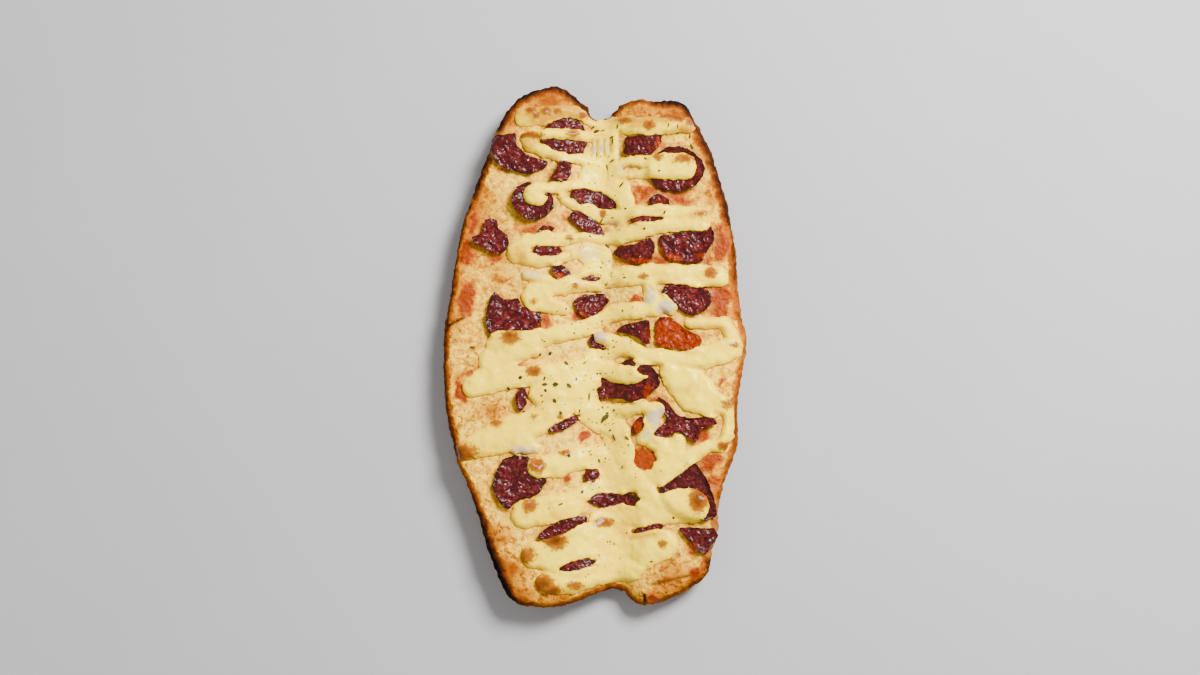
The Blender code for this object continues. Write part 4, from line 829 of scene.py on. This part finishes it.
xs, ys = (np.arange(cad_box[0][k] / MM, cad_box[1][k] / MM, CHEESE_GRID) for k in (0, 1))
grid = np.stack(np.meshgrid(xs, ys, indexing="ij"), axis=2)
flat = grid.reshape(-1, 2)
swirl = np.column_stack([waves(flat, 6.0, 21.0), waves(flat, 6.0, 27.0)])
swirl += 0.5 * np.column_stack([waves(flat, 2.2, 31.0), waves(flat, 2.2, 37.0)])
field, crown = strand_field(flat + 0.7 * swirl)
near = field < 3.0
base = tree_over([roll, *slices])
down = Vector((0, 0, -1))
height = np.zeros(len(flat))
for index in np.flatnonzero(near):
    hit = base.ray_cast(Vector((*(flat[index] * MM), ABOVE_ALL)), down)[0]
    height[index] = hit.z / MM if hit else 0.0
carried = height > LEAST_CARRIER
rim_gap = np.zeros(len(flat))
for index in np.flatnonzero(carried):
    rim_gap[index] = rim_tree.find((*flat[index], 0))[2]
field = np.where(carried, np.maximum(field, CHEESE_MARGIN - rim_gap), 5.0)
shape, known = grid.shape[:2], carried.reshape(grid.shape[:2])
level = softened(height.reshape(shape), known, 2).ravel()
edge = np.sqrt(1 - (1 - np.clip(-field / CHEESE_EDGE, 0, 1)) ** 2)
stray = flat + 2.0 * swirl
thickness = CHEESE_THIN + CHEESE_CROWN * crown + sum(waved(flat, layer) for layer in CHEESE_LUMPS)
thickness += pools(flat, CHEESE_DROPS) + 0.4 * pools(flat, CHEESE_BLISTERS)
thickness -= 0.5 * pools(stray, CHEESE_CLEAR) + lines(flat + 0.5 * swirl, CHEESE_CREASES)
top = np.maximum(level + edge * np.maximum(thickness, 0.15), height + 0.2 + 0.5 * edge)
top = softened(top.reshape(shape), known, 1).ravel() + edge * waved(flat, CHEESE_GRAIN)
top = np.maximum(top, height + 0.25)
field, height, top = (values.reshape(shape) for values in (field, height, top))
cheese_mesh, used = skin("melted_strands", grid, field, height + CHEESE_SEAT, top, CHEESE_GRID)
for name, values in (
    ("blister", pools(flat + 0.5 * swirl, CHEESE_BLISTERS)),
    ("clear", pools(stray, CHEESE_CLEAR)),
    ("gold", pools(stray, CHEESE_GOLD)),
    # How deep each vertex lies in a crease, for its painted shade.
    ("crease_shade", np.clip(lines(flat + 0.5 * swirl, CHEESE_CREASES), 0, 1)),
    ("thin", np.exp(np.minimum(field.ravel(), 0) / 0.8)),
):
    paint(cheese_mesh, name, np.tile(values.reshape(shape)[used], 2))
cheese = new_object("melted_strands", cheese_mesh)

material, tree, shader = new_material("melted_cheese")
yellow = ramp(tree, grain(tree, 17, 3), *CHEESE_TONES)
yellow = mix(tree, ramp(tree, grain(tree, 8, 4), (0.5, 0.0), (0.72, 0.6)), yellow, CHEESE_PALE)
gold = stirred(tree, painted(tree, "gold"), grain(tree, 6, 3, 0.6), 0.35)
yellow = mix(tree, ramp(tree, gold, (0.2, 0.0), (0.65, 0.9)), yellow, GOLD_TONE)
clear = stirred(tree, painted(tree, "clear"), grain(tree, 5, 3, 0.6), 0.3)
yellow = mix(tree, ramp(tree, clear, (0.45, 0.0), (1.0, 0.85)), yellow, CLEAR_TONE)
# At each strand's edge the cheese runs thin and golden, and is also painted darker there as shade.
yellow = mix(tree, times(tree, painted(tree, "thin"), 0.55), yellow, THIN_EDGE_AND_SHADE_TONE)
yellow = mix(tree, ramp(tree, painted(tree, "blister"), (0.06, 0.0), (0.34, 0.8)), yellow, BLISTER_HALO)
brown = stirred(tree, painted(tree, "blister"), grain(tree, 1.7, 4, 0.65), 0.55)
yellow = mix(tree, ramp(tree, brown, (0.12, 0.0), (0.30, 0.95)), yellow, ramp(tree, brown, *BLISTER_TONES))
# Painted shade in the creases between strands.
yellow = mix(tree, times(tree, painted(tree, "crease_shade"), 0.75), yellow, CREASE_SHADE_TONE)
tree.links.new(yellow, shader.inputs["Base Color"])
tree.links.new(ramp(tree, grain(tree, 7, 3), (0.3, 0.1), (0.7, 0.22)), shader.inputs["Roughness"])
shader.inputs["Specular IOR Level"].default_value = 0.12
shader.inputs["Subsurface Weight"].default_value = 0.03
shader.inputs["Subsurface Radius"].default_value = (1.0, 0.6, 0.25)
shader.inputs["Subsurface Scale"].default_value = 1.0 * MM
relief = bumps(tree, (grain(tree, 6, 1), 0.4, 1.2), (grain(tree, 2.2, 1), 0.25, 0.4), (brown, 0.3, 0.5))
tree.links.new(relief, shader.inputs["Normal"])
cheese_mesh.materials.append(material)
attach(cheese, "root")
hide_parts("melted_cheese")

# The herbs.
# Dried oregano and thyme, strewn over the cheese before baking: dark olive leaf flakes and bits of stem,
# most of them along the hinge.

# Where small flakes are strewn, in millimetres, and how far inside the cheese's outline they stay.
HERB_SEED = 7
HERB_MIDDLE = (4, -6)
HERB_SPREAD = (12.0, 62.0)
HERB_INSET = 0.6
STREWN_FLAKES = 150
STREWN_LENGTH = (0.4, 1.2)
STREWN_WIDTH = (0.25, 0.6)
# Every flake is made this much larger than measured, because the cheese hides its ends.
HERB_GROWTH = 1.25
FLAKE_LIFT = 0.12
FLAKE_ROOT = 0.1
LEAF_TONES = [(0.35, (0.014, 0.013, 0.004)), (0.5, (0.035, 0.031, 0.006)), (0.7, (0.085, 0.058, 0.008))]
# The flakes that stand out: place, length and width in millimetres, and turn in degrees.
HERB_FLAKES = [
    (558, 388, 2.8, 2.0, 0), (523, 381, 2.0, 1.6, 20), (511, 392, 2.4, 1.1, -60),
    (542, 358, 1.7, 0.9, 80), (552, 357, 1.9, 1.4, 70), (568, 367, 2.6, 1.2, -50),
    (547, 382, 2.1, 0.9, 75), (547, 388, 2.6, 1.3, 0), (571, 389, 2.8, 1.2, -40),
    (548, 394, 1.7, 1.2, -50), (544, 399, 1.4, 0.7, 10), (545, 405, 1.2, 0.8, 70),
    (557, 404, 2.3, 1.3, -55), (563, 416, 1.9, 1.2, -60), (526, 415, 1.6, 0.9, 10),
    (590, 400, 4.2, 0.8, 88), (606, 420, 3.8, 2.2, 30), (603, 424, 2.0, 1.0, 60),
    (608, 416, 1.4, 1.0, 0), (615, 413, 1.2, 0.8, 0), (600, 463, 1.9, 1.0, -60),
    (592, 457, 1.0, 0.8, 0), (615, 440, 3.4, 0.8, -70), (628, 441, 2.6, 0.9, -40),
    (597, 134, 3.4, 1.6, 10), (604, 133, 2.2, 0.6, 12), (594, 129, 1.6, 0.9, 60),
    (619, 130, 2.0, 0.8, 85), (670, 131, 2.2, 0.6, 80), (679, 132, 2.2, 0.5, 85),
    (679, 138, 1.4, 0.9, -30), (691, 141, 2.8, 0.6, 88), (693, 152, 3.0, 0.7, -65),
    (623, 189, 3.6, 0.7, 50), (613, 164, 2.4, 0.9, 30), (608, 170, 3.6, 0.6, -75),
    (571, 458, 1.8, 1.2, -60), (584, 494, 1.8, 1.3, 80), (646, 234, 1.3, 1.0, 0),
    (608, 249, 3.8, 0.7, -50), (626, 282, 1.6, 0.7, 0), (627, 213, 1.3, 0.8, 0),
    (674, 519, 1.3, 0.9, 0), (661, 177, 1.2, 0.8, 0), (614, 144, 3.2, 0.6, 88),
    (602, 224, 3.0, 0.6, 70), (666, 218, 2.2, 0.7, 70), (611, 433, 1.3, 0.8, 20),
    (652, 562, 1.6, 0.8, 0), (563, 506, 2.6, 0.7, 20), (607, 288, 1.0, 0.7, 0),
    (568, 313, 1.2, 0.6, 70), (576, 337, 1.0, 0.7, -30), (547, 345, 1.3, 0.4, -20),
    (586, 366, 2.0, 0.6, 40), (578, 383, 2.0, 0.6, 80), (598, 377, 1.2, 0.9, 30),
    (647, 164, 1.8, 0.6, -50), (613, 140, 2.0, 0.8, 20), (597, 157, 2.0, 0.4, 88),
]


def add_flake(bm, surface, x, y, long, wide, turn, draw):
    """A curled lozenge of dried leaf, lying on what is under it."""
    spot, normal, _, _ = surface.ray_cast(Vector((x * MM, y * MM, ABOVE_ALL)), down)
    if spot is None:
        return
    long, wide = HERB_GROWTH * long, HERB_GROWTH * wide
    side = Vector((math.cos(turn), math.sin(turn), 0)).cross(normal).normalized()
    along = side.cross(normal).normalized()
    across = normal.cross(along)
    curl = draw.uniform(0.05, 0.25) * wide
    rows = [(-0.5, 0.0), (-0.2, draw.uniform(0.35, 0.5)), (0.15, draw.uniform(0.4, 0.5)), (0.5, 0.0)]
    above, below = [], []
    for share, half in rows:
        for side in ((1, -1) if half else (0,)):
            at = spot + (along * share * long + across * side * half * wide) * MM
            lift = FLAKE_LIFT + curl * abs(side) + 0.1 * draw.random()
            above.append(bm.verts.new(at + normal * (lift + FLAKE_LIFT) * MM))
            below.append(bm.verts.new(at + normal * (lift - FLAKE_ROOT) * MM))
    for a, b, c, d in ((0, 1, 2, None), (1, 3, 4, 2), (3, 5, 4, None)):
        top_face = [above[i] for i in (a, b, c, d) if i is not None]
        bm.faces.new(top_face)
        bm.faces.new([below[above.index(v)] for v in reversed(top_face)])
    ring = (0, 1, 3, 5, 4, 2)
    for i, j in zip(ring, ring[1:] + ring[:1]):
        bm.faces.new((above[j], above[i], below[i], below[j]))


draw = random.Random(HERB_SEED)
surface = tree_over([roll, *slices, cheese])
bm = bmesh.new()
for px, py, long, wide, turn in HERB_FLAKES:
    x, y = from_photo([(px, py)])[0]
    add_flake(bm, surface, x, y, long, wide, math.radians(turn), draw)
strewn = 0
while strewn < STREWN_FLAKES:
    x, y = (draw.gauss(middle, spread) for middle, spread in zip(HERB_MIDDLE, HERB_SPREAD))
    if strand_field(np.array([[x, y]]))[0][0] > -HERB_INSET:
        continue
    strewn += 1
    long, wide, turn = draw.uniform(*STREWN_LENGTH), draw.uniform(*STREWN_WIDTH), draw.uniform(0, math.pi)
    add_flake(bm, surface, x, y, long, wide, turn, draw)
bmesh.ops.recalc_face_normals(bm, faces=bm.faces[:])
herb_mesh = bpy.data.meshes.new("dried_herbs")
bm.to_mesh(herb_mesh)
bm.free()
herbs = new_object("dried_herbs", herb_mesh)
material, tree, shader = new_material("dried_herbs")
tree.links.new(ramp(tree, grain(tree, 4, 2), *LEAF_TONES), shader.inputs["Base Color"])
shader.inputs["Roughness"].default_value = 0.75
shader.inputs["Specular IOR Level"].default_value = 0.15
tree.links.new(bumps(tree, (grain(tree, 0.8, 2), 0.5, 0.2)), shader.inputs["Normal"])
herb_mesh.materials.append(material)
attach(herbs, "root")
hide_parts("melted_cheese")
